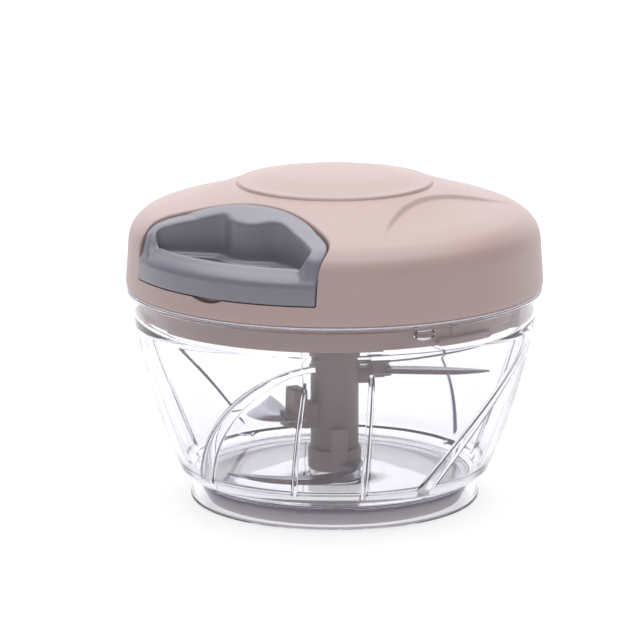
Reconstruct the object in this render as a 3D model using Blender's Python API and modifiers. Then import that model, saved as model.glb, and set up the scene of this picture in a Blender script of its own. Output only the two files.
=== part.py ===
"""Pull cord food chopper: clear bowl, three blade rotor, and a lid that holds the recoil reel.

Metres, +Z up, origin on the bowl's axis at the surface it stands on. The pull handle faces -Y.
An azimuth here is measured from -Y towards +X, so the handle lies at azimuth 0.
"""
import math

import bmesh
import bpy
from mathutils import Matrix, Vector

# Driving dimensions of the bowl
BOWL_WALL = 0.0022
BOWL_FLOOR_Z = 0.0080
BOWL_FLOOR_THICKNESS = 0.0020
BOWL_CORNER_RADIUS = 0.0454
BOWL_CORNER_Z = 0.0093
LID_OVERHANG = 0.0010
BOWL_RIM_Z = 0.0649
BOWL_BELLY = 0.0058
RIM_BEAD = 0.0004
RIM_BEAD_HEIGHT = 0.0008
RIM_BAND_WALL = 0.0023
RIM_BAND_Z = 0.0572
FOOT_RADIUS = 0.0437
FOOT_EDGE_HEIGHT = 0.0017
FOOT_NECK_RADIUS = 0.0412
FOOT_WALL = 0.0015
FOOT_LIFT = 0.0005
RING_INNER_RADIUS = 0.0320
PIN_RADIUS = 0.0029
PIN_TOP_Z = 0.0348

# Driving dimensions of the ribs inside the bowl and of its bayonet lugs
RIB_SETS = 4
SWIRL_TOP_Z = 0.0540
SWIRL_TOP_AZIMUTH = 31.0
SWIRL_SWEEP = 51.0
SWIRL_POWER = 0.62
SWIRL_WIDTH = 0.0030
SWIRL_PROUD = 0.0024
STAY_TOP_Z = 0.0485
STAY_TOP_AZIMUTH = 28.0
STAY_LEAN = 7.0
STAY_WIDTH = 0.0022
STAY_PROUD = 0.0020
POST_TOP_Z = 0.0510
POST_AZIMUTH = 47.0
POST_WIDTH = 0.0023
POST_PROUD = 0.0020
RIB_FOOT_Z = 0.0096
LUGS = 3
LUG_WIDTH = 0.0090
LUG_HEIGHT = 0.0044
LUG_PROUD = 0.0016
LUG_ROOT = 0.0001
LUG_Z = 0.0625

# Driving dimensions of the lid
LID_RADIUS = 0.0625
LID_HEIGHT = 0.1000
LID_EDGE_Z = 0.0652
LID_WALL = 0.0020
LID_EDGE_WALL = 0.0011
SHOULDER_Z = 0.0770
CAP_SHARE = 0.472
CAP_EDGE_Z = 0.0961
SCALLOP_INSET_SHARE = 0.525
SCALLOP_RADIUS_SHARE = 1.024
SCALLOP_END_SHARE = 0.896
SCALLOP_FADE_SHARE = 0.32
SCALLOP_DEPTH = 0.0009
SKIRT_WALL = 0.0036
SKIRT_BOTTOM_Z = 0.0578
LID_FLOOR_Z = 0.0605
LID_FLOOR_THICKNESS = 0.0020
TRACK_DEPTH = 0.0017
TRACK_AZIMUTH = 76.7
TRACK_HALF_ANGLE = 24.6
TRACK_TOP_Z = 0.0657
RAMP_FOOT_ANGLE = 26.6
RAMP_HEAD_ANGLE = 20.6
LEDGE_HALF_ANGLE = 10.0
LEDGE_HEIGHT = 0.0022
LOCK_TURN = 16.0
LUG_REST_ANGLE = 14.8
SEAL_HEIGHT = 0.0020

# Driving dimensions of the handle and its pocket, the shares being of the lid's radius
HANDLE_HALF_SHARE = 0.515
HANDLE_BACK_SHARE = 0.565
HANDLE_ARC_SHARE = 0.864
HANDLE_CORNER = 0.0060
HANDLE_BOTTOM_Z = 0.0719
HANDLE_FACE_TOP_Z = 0.0785
HANDLE_FACE_INSET = 0.0002
HANDLE_FRONT_BAR = 0.0050
HANDLE_FLOOR = 0.0020
HANDLE_LEDGE = 0.0035
GRIP_BACK_SHARE = 0.669
GRIP_BACK_HALF = 0.0120
GRIP_HALF_SHARE = 0.445
GRIP_SIDE_SHARE = 0.800
BUMP_DEPTH = 0.0038
BUMP_HALF_WIDTH = 0.0033
BUMP_BASE_HALF = 0.0082
POCKET_WALL = 0.0016
POCKET_GAP = 0.0004
NOTCH_RADIUS = 0.0120
NOTCH_DEPTH = 0.0013
PULL_LENGTH = 0.50

# Driving dimensions of the reel, cord and recoil spring
CORD_DIAMETER = 0.0015
CORD_TURNS = 4
CORD_PITCH = 0.0020
DRUM_RADIUS = 0.0200
DRUM_WALL = 0.0022
REEL_FLANGE_RADIUS = 0.0255
REEL_FLANGE = 0.0012
SHAFT_RADIUS = 0.0040
HUB_WALL = 0.0022
HUB_TOP_Z = 0.0670
HUB_BOTTOM_Z = 0.0470
BUSH_WALL = 0.0010
WASHER_THICKNESS = 0.0006
WASHER_RADIUS = 0.0075
DOG_TIP_Z = 0.0412
DOG_CORE_RADIUS = 0.0024
DOG_ANGLE = 28.0
AXLE_RADIUS = 0.0020
AXLE_LENGTH = 0.0260
ARBOR_RADIUS = 0.0044
SPRING_TURNS = 5.5
SPRING_THICKNESS = 0.0004
SPRING_HEIGHT = 0.0070
SPRING_COVER = 0.0012
EYELET_RADIUS = 0.0028
EYELET_LIP = 0.0010
KNOT_DIAMETER = 0.0040

# Driving dimensions of the rotor
COLUMN_RADIUS = 0.0073
COLLAR_RADIUS = 0.0077
COLLAR_Z = 0.0399
COLUMN_TOP_Z = 0.0462
SOCKET_WALL = 0.0028
SOCKET_DEPTH = 0.0058
TOOTH_PROUD = 0.0014
FOOT_COLLAR_RADIUS = 0.0081
FOOT_COLLAR_TOP_Z = 0.0150
FOOT_COLLAR_WALL = 0.0018
KEY_WIDTH = 0.0050
KEY_TOP_Z = 0.0203
KEY_PROUD = 0.0012
KEY_AZIMUTH = 48.0
BLADE_THICKNESS = 0.0010
ARM_BLADE_ROOT = 0.0108
FOOT_BLADE_ROOT = 0.0068
ARM_NECK_WIDTH = 0.0052
ARM_HEAD_WIDTH = 0.0078
ARM_HEAD_START = 0.0104
ARM_HEAD_END = 0.0150
ARM_NOSE_WIDTH = 0.0060
ARM_NOSE_END = 0.0170
UPPER_NECK = (-0.0036, 0.0012)
UPPER_HEAD = (-0.0017, 0.0035)
MIDDLE_NECK = (-0.0038, 0.0040)
MIDDLE_HEAD = (-0.0032, 0.0088)
UPPER_BLADE_Z = 0.0383
UPPER_ARM_AZIMUTH = 136.0
UPPER_TIP_RADIUS = 0.0471
UPPER_SWEEP = 10.0
UPPER_WIDTH = 0.0100
MIDDLE_BLADE_Z = 0.0256
MIDDLE_ARM_AZIMUTH = -28.0
MIDDLE_TIP_RADIUS = 0.0360
MIDDLE_SWEEP = 78.0
MIDDLE_WIDTH = 0.0110
LOWER_BLADE_Z = 0.0114
LOWER_ARM_AZIMUTH = 88.0
LOWER_TIP_RADIUS = 0.0365
LOWER_SWEEP = 112.0
LOWER_WIDTH = 0.0100

# Screws that hold the lid's two shells together
SCREW_AZIMUTHS = (52.0, 135.0, -135.0, -52.0)
SCREW_CIRCLE_SHARE = 0.736
SCREW_RADIUS = 0.0011
SCREW_LENGTH = 0.0110
SCREW_HEAD_RADIUS = 0.0027
SCREW_HEAD_HEIGHT = 0.0014
SCREW_BOSS_RADIUS = 0.0033

# Clearances
SEAT = 0.0003
RUN = 0.0003
EMBED = 0.0008

# Facets
STEPS = 54
REEL_STEPS = 36
SMALL_STEPS = 20
ARC_STEP = 4.0

# Sizes that follow from the ones above
BOWL_RIM_RADIUS = LID_RADIUS - LID_OVERHANG
RIM_BAND_RADIUS = BOWL_RIM_RADIUS - RIM_BAND_WALL
CAP_RADIUS = CAP_SHARE * LID_RADIUS
SCALLOP_INSET = SCALLOP_INSET_SHARE * LID_RADIUS
SCALLOP_RADIUS = SCALLOP_RADIUS_SHARE * LID_RADIUS
SCALLOP_END_RADIUS = SCALLOP_END_SHARE * LID_RADIUS
SCALLOP_FADE = SCALLOP_FADE_SHARE * LID_RADIUS
SCREW_CIRCLE = SCREW_CIRCLE_SHARE * LID_RADIUS
HANDLE_HALF_WIDTH = HANDLE_HALF_SHARE * LID_RADIUS
HANDLE_BACK = HANDLE_BACK_SHARE * LID_RADIUS
HANDLE_BACK_RADIUS = HANDLE_ARC_SHARE * LID_RADIUS
GRIP_BACK = GRIP_BACK_SHARE * LID_RADIUS
GRIP_HALF_WIDTH = GRIP_HALF_SHARE * LID_RADIUS
GRIP_SIDE_Y = GRIP_SIDE_SHARE * LID_RADIUS
BUMP_FRONT = GRIP_BACK + BUMP_DEPTH
REEL_BOTTOM_Z = HUB_TOP_Z + WASHER_THICKNESS + 2 * SEAT
WIND_RADIUS = DRUM_RADIUS + CORD_DIAMETER / 2 + SEAT
WIND_BOTTOM_Z = REEL_BOTTOM_Z + REEL_FLANGE + SEAT + CORD_DIAMETER / 2
WIND_TOP_Z = WIND_BOTTOM_Z + CORD_TURNS * CORD_PITCH
DRUM_TOP_Z = WIND_TOP_Z + CORD_DIAMETER / 2 + SEAT
REEL_TOP_Z = DRUM_TOP_Z + REEL_FLANGE
POCKET_FLOOR_Z = HANDLE_BOTTOM_Z - SEAT
HUB_BORE = SHAFT_RADIUS + RUN + BUSH_WALL + SEAT
BORE_TOP_Z = PIN_TOP_Z + RUN
SOCKET_RADIUS = COLLAR_RADIUS - SOCKET_WALL
LEAD_SPAN = HANDLE_BACK - POCKET_GAP - POCKET_WALL


def clear_scene():
    for obj in list(bpy.data.objects):
        bpy.data.objects.remove(obj, do_unlink=True)


def new_collection(name):
    collection = bpy.data.collections.new(name)
    bpy.context.scene.collection.children.link(collection)
    return collection


clear_scene()
PARTS = new_collection("pull_cord_chopper")
CUTTERS = new_collection("cutters")


def finish(name, colour, roughness, metallic=0.0, alpha=1.0):
    """A Principled material for one moulded, turned or stamped finish."""
    material = bpy.data.materials.new(name)
    material.use_nodes = True
    shader = material.node_tree.nodes["Principled BSDF"]
    shader.inputs["Base Color"].default_value = (*colour, 1.0)
    shader.inputs["Roughness"].default_value = roughness
    shader.inputs["Metallic"].default_value = metallic
    shader.inputs["Alpha"].default_value = alpha
    return material


def direction(azimuth):
    """Unit vector in plan for an azimuth in degrees from -Y towards +X."""
    turn = math.radians(azimuth)
    return Vector((math.sin(turn), -math.cos(turn), 0.0))


def polar(radius, azimuth, height):
    return direction(azimuth) * radius + Vector((0.0, 0.0, height))


def spread(first, last, count):
    """Evenly spaced values from first to last, both included."""
    return [first + (last - first) * index / (count - 1) for index in range(count)]


def add_mesh(name, build, collection=PARTS, material=None):
    """A mesh object from a bmesh, shaded smooth with its sharp edges kept."""
    mesh = bpy.data.meshes.new(name)
    build.to_mesh(mesh)
    build.free()
    mesh.shade_smooth()
    mesh.set_sharp_from_angle(angle=math.radians(35))
    obj = bpy.data.objects.new(name, mesh)
    collection.objects.link(obj)
    if collection is CUTTERS:
        obj.hide_render = True
        obj.display_type = "WIRE"
    if material:
        mesh.materials.append(material)
    return obj


def turned(name, profile, collection=PARTS, material=None, steps=STEPS, closed=False):
    """A profile of radius and height pairs, down its outer side, revolved about Z."""
    build = bmesh.new()
    points = [build.verts.new((radius, 0.0, height)) for radius, height in profile]
    for first, second in zip(points, points[1:]):
        build.edges.new((first, second))
    if closed:
        build.edges.new((points[-1], points[0]))
    obj = add_mesh(name, build, collection, material)
    screw = obj.modifiers.new("revolve", "SCREW")
    screw.steps = steps
    screw.render_steps = steps
    screw.use_merge_vertices = True
    screw.merge_threshold = 0.00002
    screw.use_smooth_shade = True
    return obj


def ring(name, inner, outer, low, high, collection=PARTS, material=None, steps=STEPS):
    profile = [(outer, high), (outer, low), (inner, low), (inner, high)]
    return turned(name, profile, collection, material, steps, closed=True)


def extrude_outline(build, outline, low, high):
    face = build.faces.new([build.verts.new((x, y, low)) for x, y in outline])
    grown = bmesh.ops.extrude_face_region(build, geom=[face])
    moved = [item for item in grown["geom"] if isinstance(item, bmesh.types.BMVert)]
    bmesh.ops.translate(build, vec=(0.0, 0.0, high - low), verts=moved)
    bmesh.ops.recalc_face_normals(build, faces=build.faces[:])


def prism(name, outline, low, high, collection=PARTS, material=None):
    """A plan outline extruded from one height to another."""
    build = bmesh.new()
    extrude_outline(build, outline, low, high)
    return add_mesh(name, build, collection, material)


def cylinder(name, radius, low, high, place=(0.0, 0.0), sides=SMALL_STEPS, collection=CUTTERS,
             material=None):
    build = bmesh.new()
    bmesh.ops.create_cone(build, cap_ends=True, segments=sides, radius1=radius, radius2=radius,
                          depth=high - low)
    bmesh.ops.translate(build, vec=(*place, (low + high) / 2), verts=build.verts[:])
    return add_mesh(name, build, collection, material)


def block(name, near, far, width, low, high, azimuth, round_over=0.0, collection=CUTTERS):
    """A box that reaches from one radius to another along an azimuth."""
    build = bmesh.new()
    bmesh.ops.create_cube(build, size=1.0)
    bmesh.ops.scale(build, vec=(width, far - near, high - low), verts=build.verts[:])
    bmesh.ops.translate(build, vec=(0.0, -(near + far) / 2, (low + high) / 2), verts=build.verts[:])
    bmesh.ops.rotate(build, matrix=Matrix.Rotation(math.radians(azimuth), 3, "Z"),
                     verts=build.verts[:])
    if round_over:
        bmesh.ops.bevel(build, geom=build.edges[:], offset=round_over, segments=2, profile=0.5,
                        affect="EDGES")
    return add_mesh(name, build, collection)


def loft(sections):
    """A closed bmesh through rings of equally many points."""
    build = bmesh.new()
    rings = [[build.verts.new(point) for point in section] for section in sections]
    count = len(rings[0])
    for low, high in zip(rings, rings[1:]):
        for index in range(count):
            following = (index + 1) % count
            build.faces.new((low[index], low[following], high[following], high[index]))
    build.faces.new(rings[0])
    build.faces.new(rings[-1])
    bmesh.ops.recalc_face_normals(build, faces=build.faces[:])
    return build


def cut(obj, *tools, operation="DIFFERENCE"):
    for tool in tools:
        modifier = obj.modifiers.new(tool.name, "BOOLEAN")
        modifier.operation = operation
        modifier.object = tool
        modifier.solver = "EXACT"


def merge(obj, *tools):
    cut(obj, *tools, operation="UNION")


def band_outline(inner, outer, first, last):
    """Plan outline of a sector of a ring between two azimuths."""
    count = max(3, int((last - first) / ARC_STEP) + 2)
    out = [polar(outer, azimuth, 0.0) for azimuth in spread(first, last, count)]
    back = [polar(inner, azimuth, 0.0) for azimuth in spread(last, first, count)]
    return [(point.x, point.y) for point in out + back]


CLEAR = finish("clear_polycarbonate", (0.86, 0.88, 0.92), 0.05, alpha=0.35)
SILICONE = finish("grey_silicone", (0.42, 0.42, 0.45), 0.6)
TAUPE = finish("taupe_abs", (0.62, 0.51, 0.48), 0.42)
TAUPE_INNER = finish("taupe_abs_inner", (0.42, 0.33, 0.31), 0.45)
SLATE = finish("slate_abs", (0.27, 0.28, 0.31), 0.38)
STEEL = finish("stainless_steel", (0.62, 0.63, 0.65), 0.22, metallic=1.0)
ACETAL = finish("natural_acetal", (0.80, 0.79, 0.75), 0.35)
CORD = finish("braided_nylon_cord", (0.55, 0.55, 0.57), 0.8)
SEAL = finish("white_silicone", (0.75, 0.75, 0.75), 0.6)


def bowl_outer_radius(height):
    """Outer wall of the bowl: a cone from corner to rim, bellied out between them."""
    share = (height - BOWL_CORNER_Z) / (BOWL_RIM_Z - BOWL_CORNER_Z)
    share = min(max(share, 0.0), 1.0)
    cone = BOWL_CORNER_RADIUS + (BOWL_RIM_RADIUS - BOWL_CORNER_RADIUS) * share
    return cone + BOWL_BELLY * math.sin(math.pi * share ** 0.88) * (1.0 - 0.45 * share)


def bowl_inner_radius(height):
    return bowl_outer_radius(height) - BOWL_WALL


def bowl_profile():
    wall_heights = spread(RIM_BAND_Z, BOWL_CORNER_Z, 8)
    bead_z = BOWL_RIM_Z - RIM_BEAD_HEIGHT
    neck_z = BOWL_FLOOR_Z - 0.6 * BOWL_FLOOR_THICKNESS
    edge_z = FOOT_LIFT + FOOT_EDGE_HEIGHT
    under_z = BOWL_FLOOR_Z - BOWL_FLOOR_THICKNESS
    fillet = [(0.0, BOWL_FLOOR_Z), (BOWL_CORNER_RADIUS - 1.6 * BOWL_WALL, BOWL_FLOOR_Z),
              (BOWL_CORNER_RADIUS - 0.9 * BOWL_WALL, BOWL_FLOOR_Z + 0.4 * BOWL_WALL)]
    inner = [(bowl_inner_radius(z), z + 0.5 * BOWL_WALL) for z in reversed(wall_heights[1:])]
    rim = [(bowl_inner_radius(RIM_BAND_Z), RIM_BAND_Z - 0.4 * BOWL_WALL),
           (RIM_BAND_RADIUS, RIM_BAND_Z), (RIM_BAND_RADIUS, BOWL_RIM_Z),
           (BOWL_RIM_RADIUS + RIM_BEAD, BOWL_RIM_Z), (BOWL_RIM_RADIUS + RIM_BEAD, bead_z),
           (BOWL_RIM_RADIUS, bead_z)]
    outer = [(bowl_outer_radius(z), z) for z in wall_heights]
    foot = [(FOOT_NECK_RADIUS, neck_z), (FOOT_RADIUS, edge_z), (FOOT_RADIUS, FOOT_LIFT),
            (FOOT_RADIUS - 1.2 * FOOT_WALL, FOOT_LIFT),
            (FOOT_NECK_RADIUS - FOOT_WALL, under_z), (0.0, under_z)]
    return fillet + inner + rim + outer + foot


def rib(path, width, proud, foot_width):
    """A moulded rib on the inner wall along azimuth and height pairs, lofted square to its path."""
    sections = []
    last = len(path) - 1
    for index, (azimuth, height) in enumerate(path):
        before = path[max(index - 1, 0)]
        after = path[min(index + 1, last)]
        radius = bowl_inner_radius(height)
        run = math.radians(after[0] - before[0]) * radius
        climb = after[1] - before[1]
        length = math.hypot(run, climb)
        side = Vector((-climb / length, run / length))
        share = index / last
        half = (width + (foot_width - width) * share) / 2
        stand = proud * min(1.0, 0.25 + 3.0 * share)
        section = []
        for offset, depth in ((-half, -EMBED), (half, -EMBED), (0.62 * half, stand),
                              (-0.62 * half, stand)):
            z = height + offset * side.y
            wall = bowl_inner_radius(z)
            turn = azimuth + math.degrees(offset * side.x / wall)
            section.append(polar(wall - depth, turn, z))
        sections.append(section)
    return loft(sections)


def swirl_path(azimuth):
    """The swirl leaves the rim nearly level and steepens as it runs down to the floor."""
    path = []
    for share in spread(0.0, 1.0, 13):
        drop = share ** 1.5
        z = SWIRL_TOP_Z + (RIB_FOOT_Z - SWIRL_TOP_Z) * drop
        path.append((azimuth + SWIRL_TOP_AZIMUTH - SWIRL_SWEEP * drop ** SWIRL_POWER, z))
    return path


def straight_path(azimuth, top_z, lean):
    return [(azimuth - lean * share, top_z + (RIB_FOOT_Z - top_z) * share)
            for share in (0.0, 0.04, 0.12, 0.35, 0.6, 0.82, 1.0)]


def bowl_ribs():
    """Four sets of three ribs: the swirl, a leaning stay below it and an upright post."""
    ribs = []
    for index in range(RIB_SETS):
        start = index * 360.0 / RIB_SETS
        builds = (
            ("swirl", rib(swirl_path(start), SWIRL_WIDTH, SWIRL_PROUD, 1.5 * SWIRL_WIDTH)),
            ("stay", rib(straight_path(start + STAY_TOP_AZIMUTH, STAY_TOP_Z, STAY_LEAN),
                         STAY_WIDTH, STAY_PROUD, 1.6 * STAY_WIDTH)),
            ("post", rib(straight_path(start + POST_AZIMUTH, POST_TOP_Z, 0.0),
                         POST_WIDTH, POST_PROUD, POST_WIDTH)))
        for kind, build in builds:
            ribs.append(add_mesh(f"{kind}_rib_{index + 1}", build, CUTTERS))
    return ribs


def bayonet_lugs():
    """Rounded lugs on the rim band that pass through the skirt's entrances."""
    lugs = []
    for index in range(LUGS):
        azimuth = TRACK_AZIMUTH - LUG_REST_ANGLE + index * 360.0 / LUGS
        build = bmesh.new()
        bmesh.ops.create_uvsphere(build, u_segments=12, v_segments=6, radius=1.0)
        bmesh.ops.scale(build, vec=(LUG_WIDTH / 2, LUG_PROUD + LUG_ROOT, LUG_HEIGHT / 2),
                        verts=build.verts[:])
        bmesh.ops.translate(build, vec=(0.0, -RIM_BAND_RADIUS - LUG_ROOT, LUG_Z),
                            verts=build.verts[:])
        bmesh.ops.rotate(build, matrix=Matrix.Rotation(math.radians(azimuth), 3, "Z"),
                         verts=build.verts[:])
        lugs.append(add_mesh(f"bayonet_lug_{index + 1}", build, CUTTERS))
    return lugs


def make_bowl():
    """Injection moulded clear bowl: wall, floor, pivot pin, flared foot, ribs and lugs."""
    bowl = turned("bowl", bowl_profile(), material=CLEAR)
    pin = [(0.0, PIN_TOP_Z), (0.75 * PIN_RADIUS, PIN_TOP_Z - 0.15 * PIN_RADIUS),
           (PIN_RADIUS, PIN_TOP_Z - 0.6 * PIN_RADIUS),
           (PIN_RADIUS, BOWL_FLOOR_Z - 0.5 * BOWL_FLOOR_THICKNESS),
           (0.0, BOWL_FLOOR_Z - 0.5 * BOWL_FLOOR_THICKNESS)]
    merge(bowl, turned("pivot_pin", pin, CUTTERS, steps=SMALL_STEPS), *bowl_ribs(),
          *bayonet_lugs())


def make_anti_slip_ring():
    """Soft ring pressed into the foot; it is what the chopper stands on."""
    top = BOWL_FLOOR_Z - BOWL_FLOOR_THICKNESS - SEAT
    outer_top = FOOT_NECK_RADIUS - FOOT_WALL - 2 * SEAT
    outer_low = FOOT_RADIUS - 1.2 * FOOT_WALL - 2 * SEAT
    profile = [(outer_top, top), (outer_low, 0.0), (RING_INNER_RADIUS, 0.0),
               (RING_INNER_RADIUS, top)]
    turned("anti_slip_ring", profile, material=SILICONE, closed=True)


def lid_outer_profile():
    """Outside of the lid from the crown down: a low cap, the dome, the shoulder and the side."""
    cap = [(0.0, LID_HEIGHT), (0.42 * CAP_RADIUS, LID_HEIGHT - 0.0005),
           (0.76 * CAP_RADIUS, LID_HEIGHT - 0.0018), (0.93 * CAP_RADIUS, CAP_EDGE_Z + 0.0010),
           (CAP_RADIUS, CAP_EDGE_Z)]
    drop = CAP_EDGE_Z - SHOULDER_Z
    dome = [(0.52 * LID_RADIUS, CAP_EDGE_Z - 0.0006), (0.64 * LID_RADIUS, CAP_EDGE_Z - 0.14 * drop),
            (0.752 * LID_RADIUS, CAP_EDGE_Z - 0.245 * drop),
            (0.816 * LID_RADIUS, CAP_EDGE_Z - 0.305 * drop),
            (0.864 * LID_RADIUS, CAP_EDGE_Z - 0.366 * drop),
            (0.909 * LID_RADIUS, CAP_EDGE_Z - 0.442 * drop),
            (0.944 * LID_RADIUS, CAP_EDGE_Z - 0.524 * drop),
            (0.974 * LID_RADIUS, CAP_EDGE_Z - 0.642 * drop),
            (0.994 * LID_RADIUS, CAP_EDGE_Z - 0.80 * drop), (LID_RADIUS, SHOULDER_Z)]
    side = [(LID_RADIUS - 0.0001, (SHOULDER_Z + LID_EDGE_Z) / 2), (LID_RADIUS - 0.0004, LID_EDGE_Z)]
    return cap + dome + side


def lid_inner_profile():
    """Inside of the lid's outer shell from its lower edge up to the crown."""
    relief_z = LID_EDGE_Z + SEAL_HEIGHT + LID_WALL
    edge = [(LID_RADIUS - 0.0004 - LID_EDGE_WALL, LID_EDGE_Z),
            (LID_RADIUS - 0.0004 - LID_EDGE_WALL, relief_z),
            (LID_RADIUS - LID_WALL, relief_z + 0.0006)]
    inside = [(radius - 0.8 * LID_WALL, height - LID_WALL)
              for radius, height in reversed(lid_outer_profile()[4:-2:2])]
    return edge + inside + [(0.0, LID_HEIGHT - LID_WALL)]


def handle_half_outline(grow):
    """Right half of the handle's plan outline, from the centre of its back round to its face.

    The back is an arc, the sides are straight and the face follows the lid. grow moves it outwards.
    """
    half = HANDLE_HALF_WIDTH + grow
    centre = HANDLE_BACK + HANDLE_BACK_RADIUS
    radius = HANDLE_BACK_RADIUS + grow
    corner = HANDLE_CORNER + grow
    reach = half - corner
    turn = math.asin(reach / (radius - corner))
    points = [(radius * math.sin(angle), centre - radius * math.cos(angle))
              for angle in spread(0.0, turn, 7)]
    corner_y = centre - (radius - corner) * math.cos(turn)
    points += [(reach + corner * math.sin(angle), corner_y - corner * math.cos(angle))
               for angle in spread(turn, math.pi / 2, 6)[1:]]
    return points


def handle_outline(face_radius, grow=0.0):
    """Closed plan outline of the handle as x and y pairs."""
    right = handle_half_outline(grow)
    half = HANDLE_HALF_WIDTH + grow
    corner = math.asin(half / face_radius)
    face = [(face_radius * math.sin(angle), face_radius * math.cos(angle))
            for angle in spread(corner, -corner, 17)]
    left = [(-x, y) for x, y in reversed(right[1:])]
    return [(x, -y) for x, y in right + face + left]


def grip_outline(inset=0.0):
    """Plan outline of the finger opening, with the bump that holds the cord."""
    front = LID_RADIUS - HANDLE_FACE_INSET - HANDLE_FRONT_BAR - inset
    right = [(BUMP_HALF_WIDTH + inset, BUMP_FRONT + inset),
             (BUMP_BASE_HALF + inset, GRIP_BACK + inset),
             (GRIP_BACK_HALF, GRIP_BACK + inset),
             (GRIP_HALF_WIDTH - inset, GRIP_SIDE_Y),
             (GRIP_HALF_WIDTH - 0.3 * HANDLE_CORNER - inset,
              GRIP_SIDE_Y + 0.35 * HANDLE_CORNER)]
    corner = math.asin((GRIP_HALF_WIDTH - 0.5 * HANDLE_CORNER - inset) / front)
    face = [(front * math.sin(angle), front * math.cos(angle))
            for angle in spread(corner, -corner, 13)]
    left = [(-x, y) for x, y in reversed(right)]
    return [(x, -y) for x, y in right + face + left]


def make_lid_cover():
    """Outer shell of the lid: crown, grip scallops, handle pocket, cord hole and screw bosses."""
    profile = lid_outer_profile() + lid_inner_profile()
    cover = turned("lid_cover", profile, material=TAUPE)
    pocket_low = POCKET_FLOOR_Z - POCKET_WALL
    grow = POCKET_GAP + POCKET_WALL
    tub = prism("pocket_tub", handle_outline(LID_RADIUS + LID_WALL, grow), pocket_low,
                LID_HEIGHT, CUTTERS)
    inside = turned("lid_solid", lid_outer_profile() + [(0.0, LID_EDGE_Z)], CUTTERS)
    cut(tub, inside, operation="INTERSECT")
    reach = LID_RADIUS + 3 * LID_WALL
    pocket = prism("pocket", handle_outline(reach, POCKET_GAP), POCKET_FLOOR_Z,
                   LID_HEIGHT + LID_WALL, CUTTERS)
    bosses = []
    bores = []
    for index, azimuth in enumerate(SCREW_AZIMUTHS):
        place = polar(SCREW_CIRCLE, azimuth, 0.0)
        spot = (place.x, place.y)
        low = LID_FLOOR_Z + LID_FLOOR_THICKNESS + SEAT
        top = CAP_EDGE_Z - 0.3 * (CAP_EDGE_Z - SHOULDER_Z)
        bosses.append(cylinder(f"screw_boss_{index + 1}", SCREW_BOSS_RADIUS, low, top, spot, 16))
        bores.append(cylinder(f"screw_bore_{index + 1}", SCREW_RADIUS + SEAT, low - SEAT,
                              low + SCREW_LENGTH + SEAT, spot, 12))
    axle_top = REEL_TOP_Z + 0.5 * AXLE_LENGTH
    axle_boss = cylinder("axle_boss", ARBOR_RADIUS + 0.4 * LID_WALL, REEL_TOP_Z + 0.0036,
                         LID_HEIGHT - 0.6 * LID_WALL, sides=SMALL_STEPS)
    axle_bore = cylinder("axle_bore", AXLE_RADIUS + SEAT, REEL_TOP_Z, axle_top + SEAT, sides=16)
    merge(cover, tub, *bosses, axle_boss)
    cut(cover, pocket, *bores, axle_bore, cord_hole(EYELET_RADIUS + SEAT, "cord_hole"),
        lip_notch(), *scallops())


def cord_hole(radius, name):
    """A hole through the pocket's back wall, along Y."""
    build = bmesh.new()
    bmesh.ops.create_cone(build, cap_ends=True, segments=SMALL_STEPS, radius1=radius,
                          radius2=radius, depth=6 * POCKET_WALL)
    bmesh.ops.rotate(build, matrix=Matrix.Rotation(math.pi / 2, 3, "X"), verts=build.verts[:])
    bmesh.ops.translate(build, vec=(0.0, -LEAD_SPAN, WIND_TOP_Z), verts=build.verts[:])
    return add_mesh(name, build, CUTTERS)


def lip_notch():
    """A nail notch in the lip below the handle."""
    build = bmesh.new()
    bmesh.ops.create_cone(build, cap_ends=True, segments=48, radius1=NOTCH_RADIUS,
                          radius2=NOTCH_RADIUS, depth=4 * LID_WALL)
    bmesh.ops.rotate(build, matrix=Matrix.Rotation(math.pi / 2, 3, "X"), verts=build.verts[:])
    centre = Vector((0.0, -LID_RADIUS - LID_WALL, POCKET_FLOOR_Z - NOTCH_DEPTH + NOTCH_RADIUS))
    bmesh.ops.translate(build, vec=centre, verts=build.verts[:])
    return add_mesh("lip_notch", build, CUTTERS)


def scallops():
    """Two shallow side scallops: the dome pressed in beyond an arc, fading out at the shoulder."""
    pressed = []
    for radius, height in lid_outer_profile()[:-2]:
        depth = min(1.0, max(0.0, (SCALLOP_END_RADIUS - radius) / SCALLOP_FADE))
        pressed.append((radius, height - SCALLOP_DEPTH * depth))
    cutters = []
    for side in (-1, 1):
        drum = cylinder(f"scallop_{'left' if side < 0 else 'right'}", SCALLOP_RADIUS,
                        SHOULDER_Z + 4 * LID_WALL, LID_HEIGHT + LID_WALL,
                        (side * (SCALLOP_INSET + SCALLOP_RADIUS), 0.0), 72)
        core = turned(f"{drum.name}_floor", pressed + [(0.0, SHOULDER_Z)], CUTTERS)
        cut(drum, core)
        cutters.append(drum)
    return cutters


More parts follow.
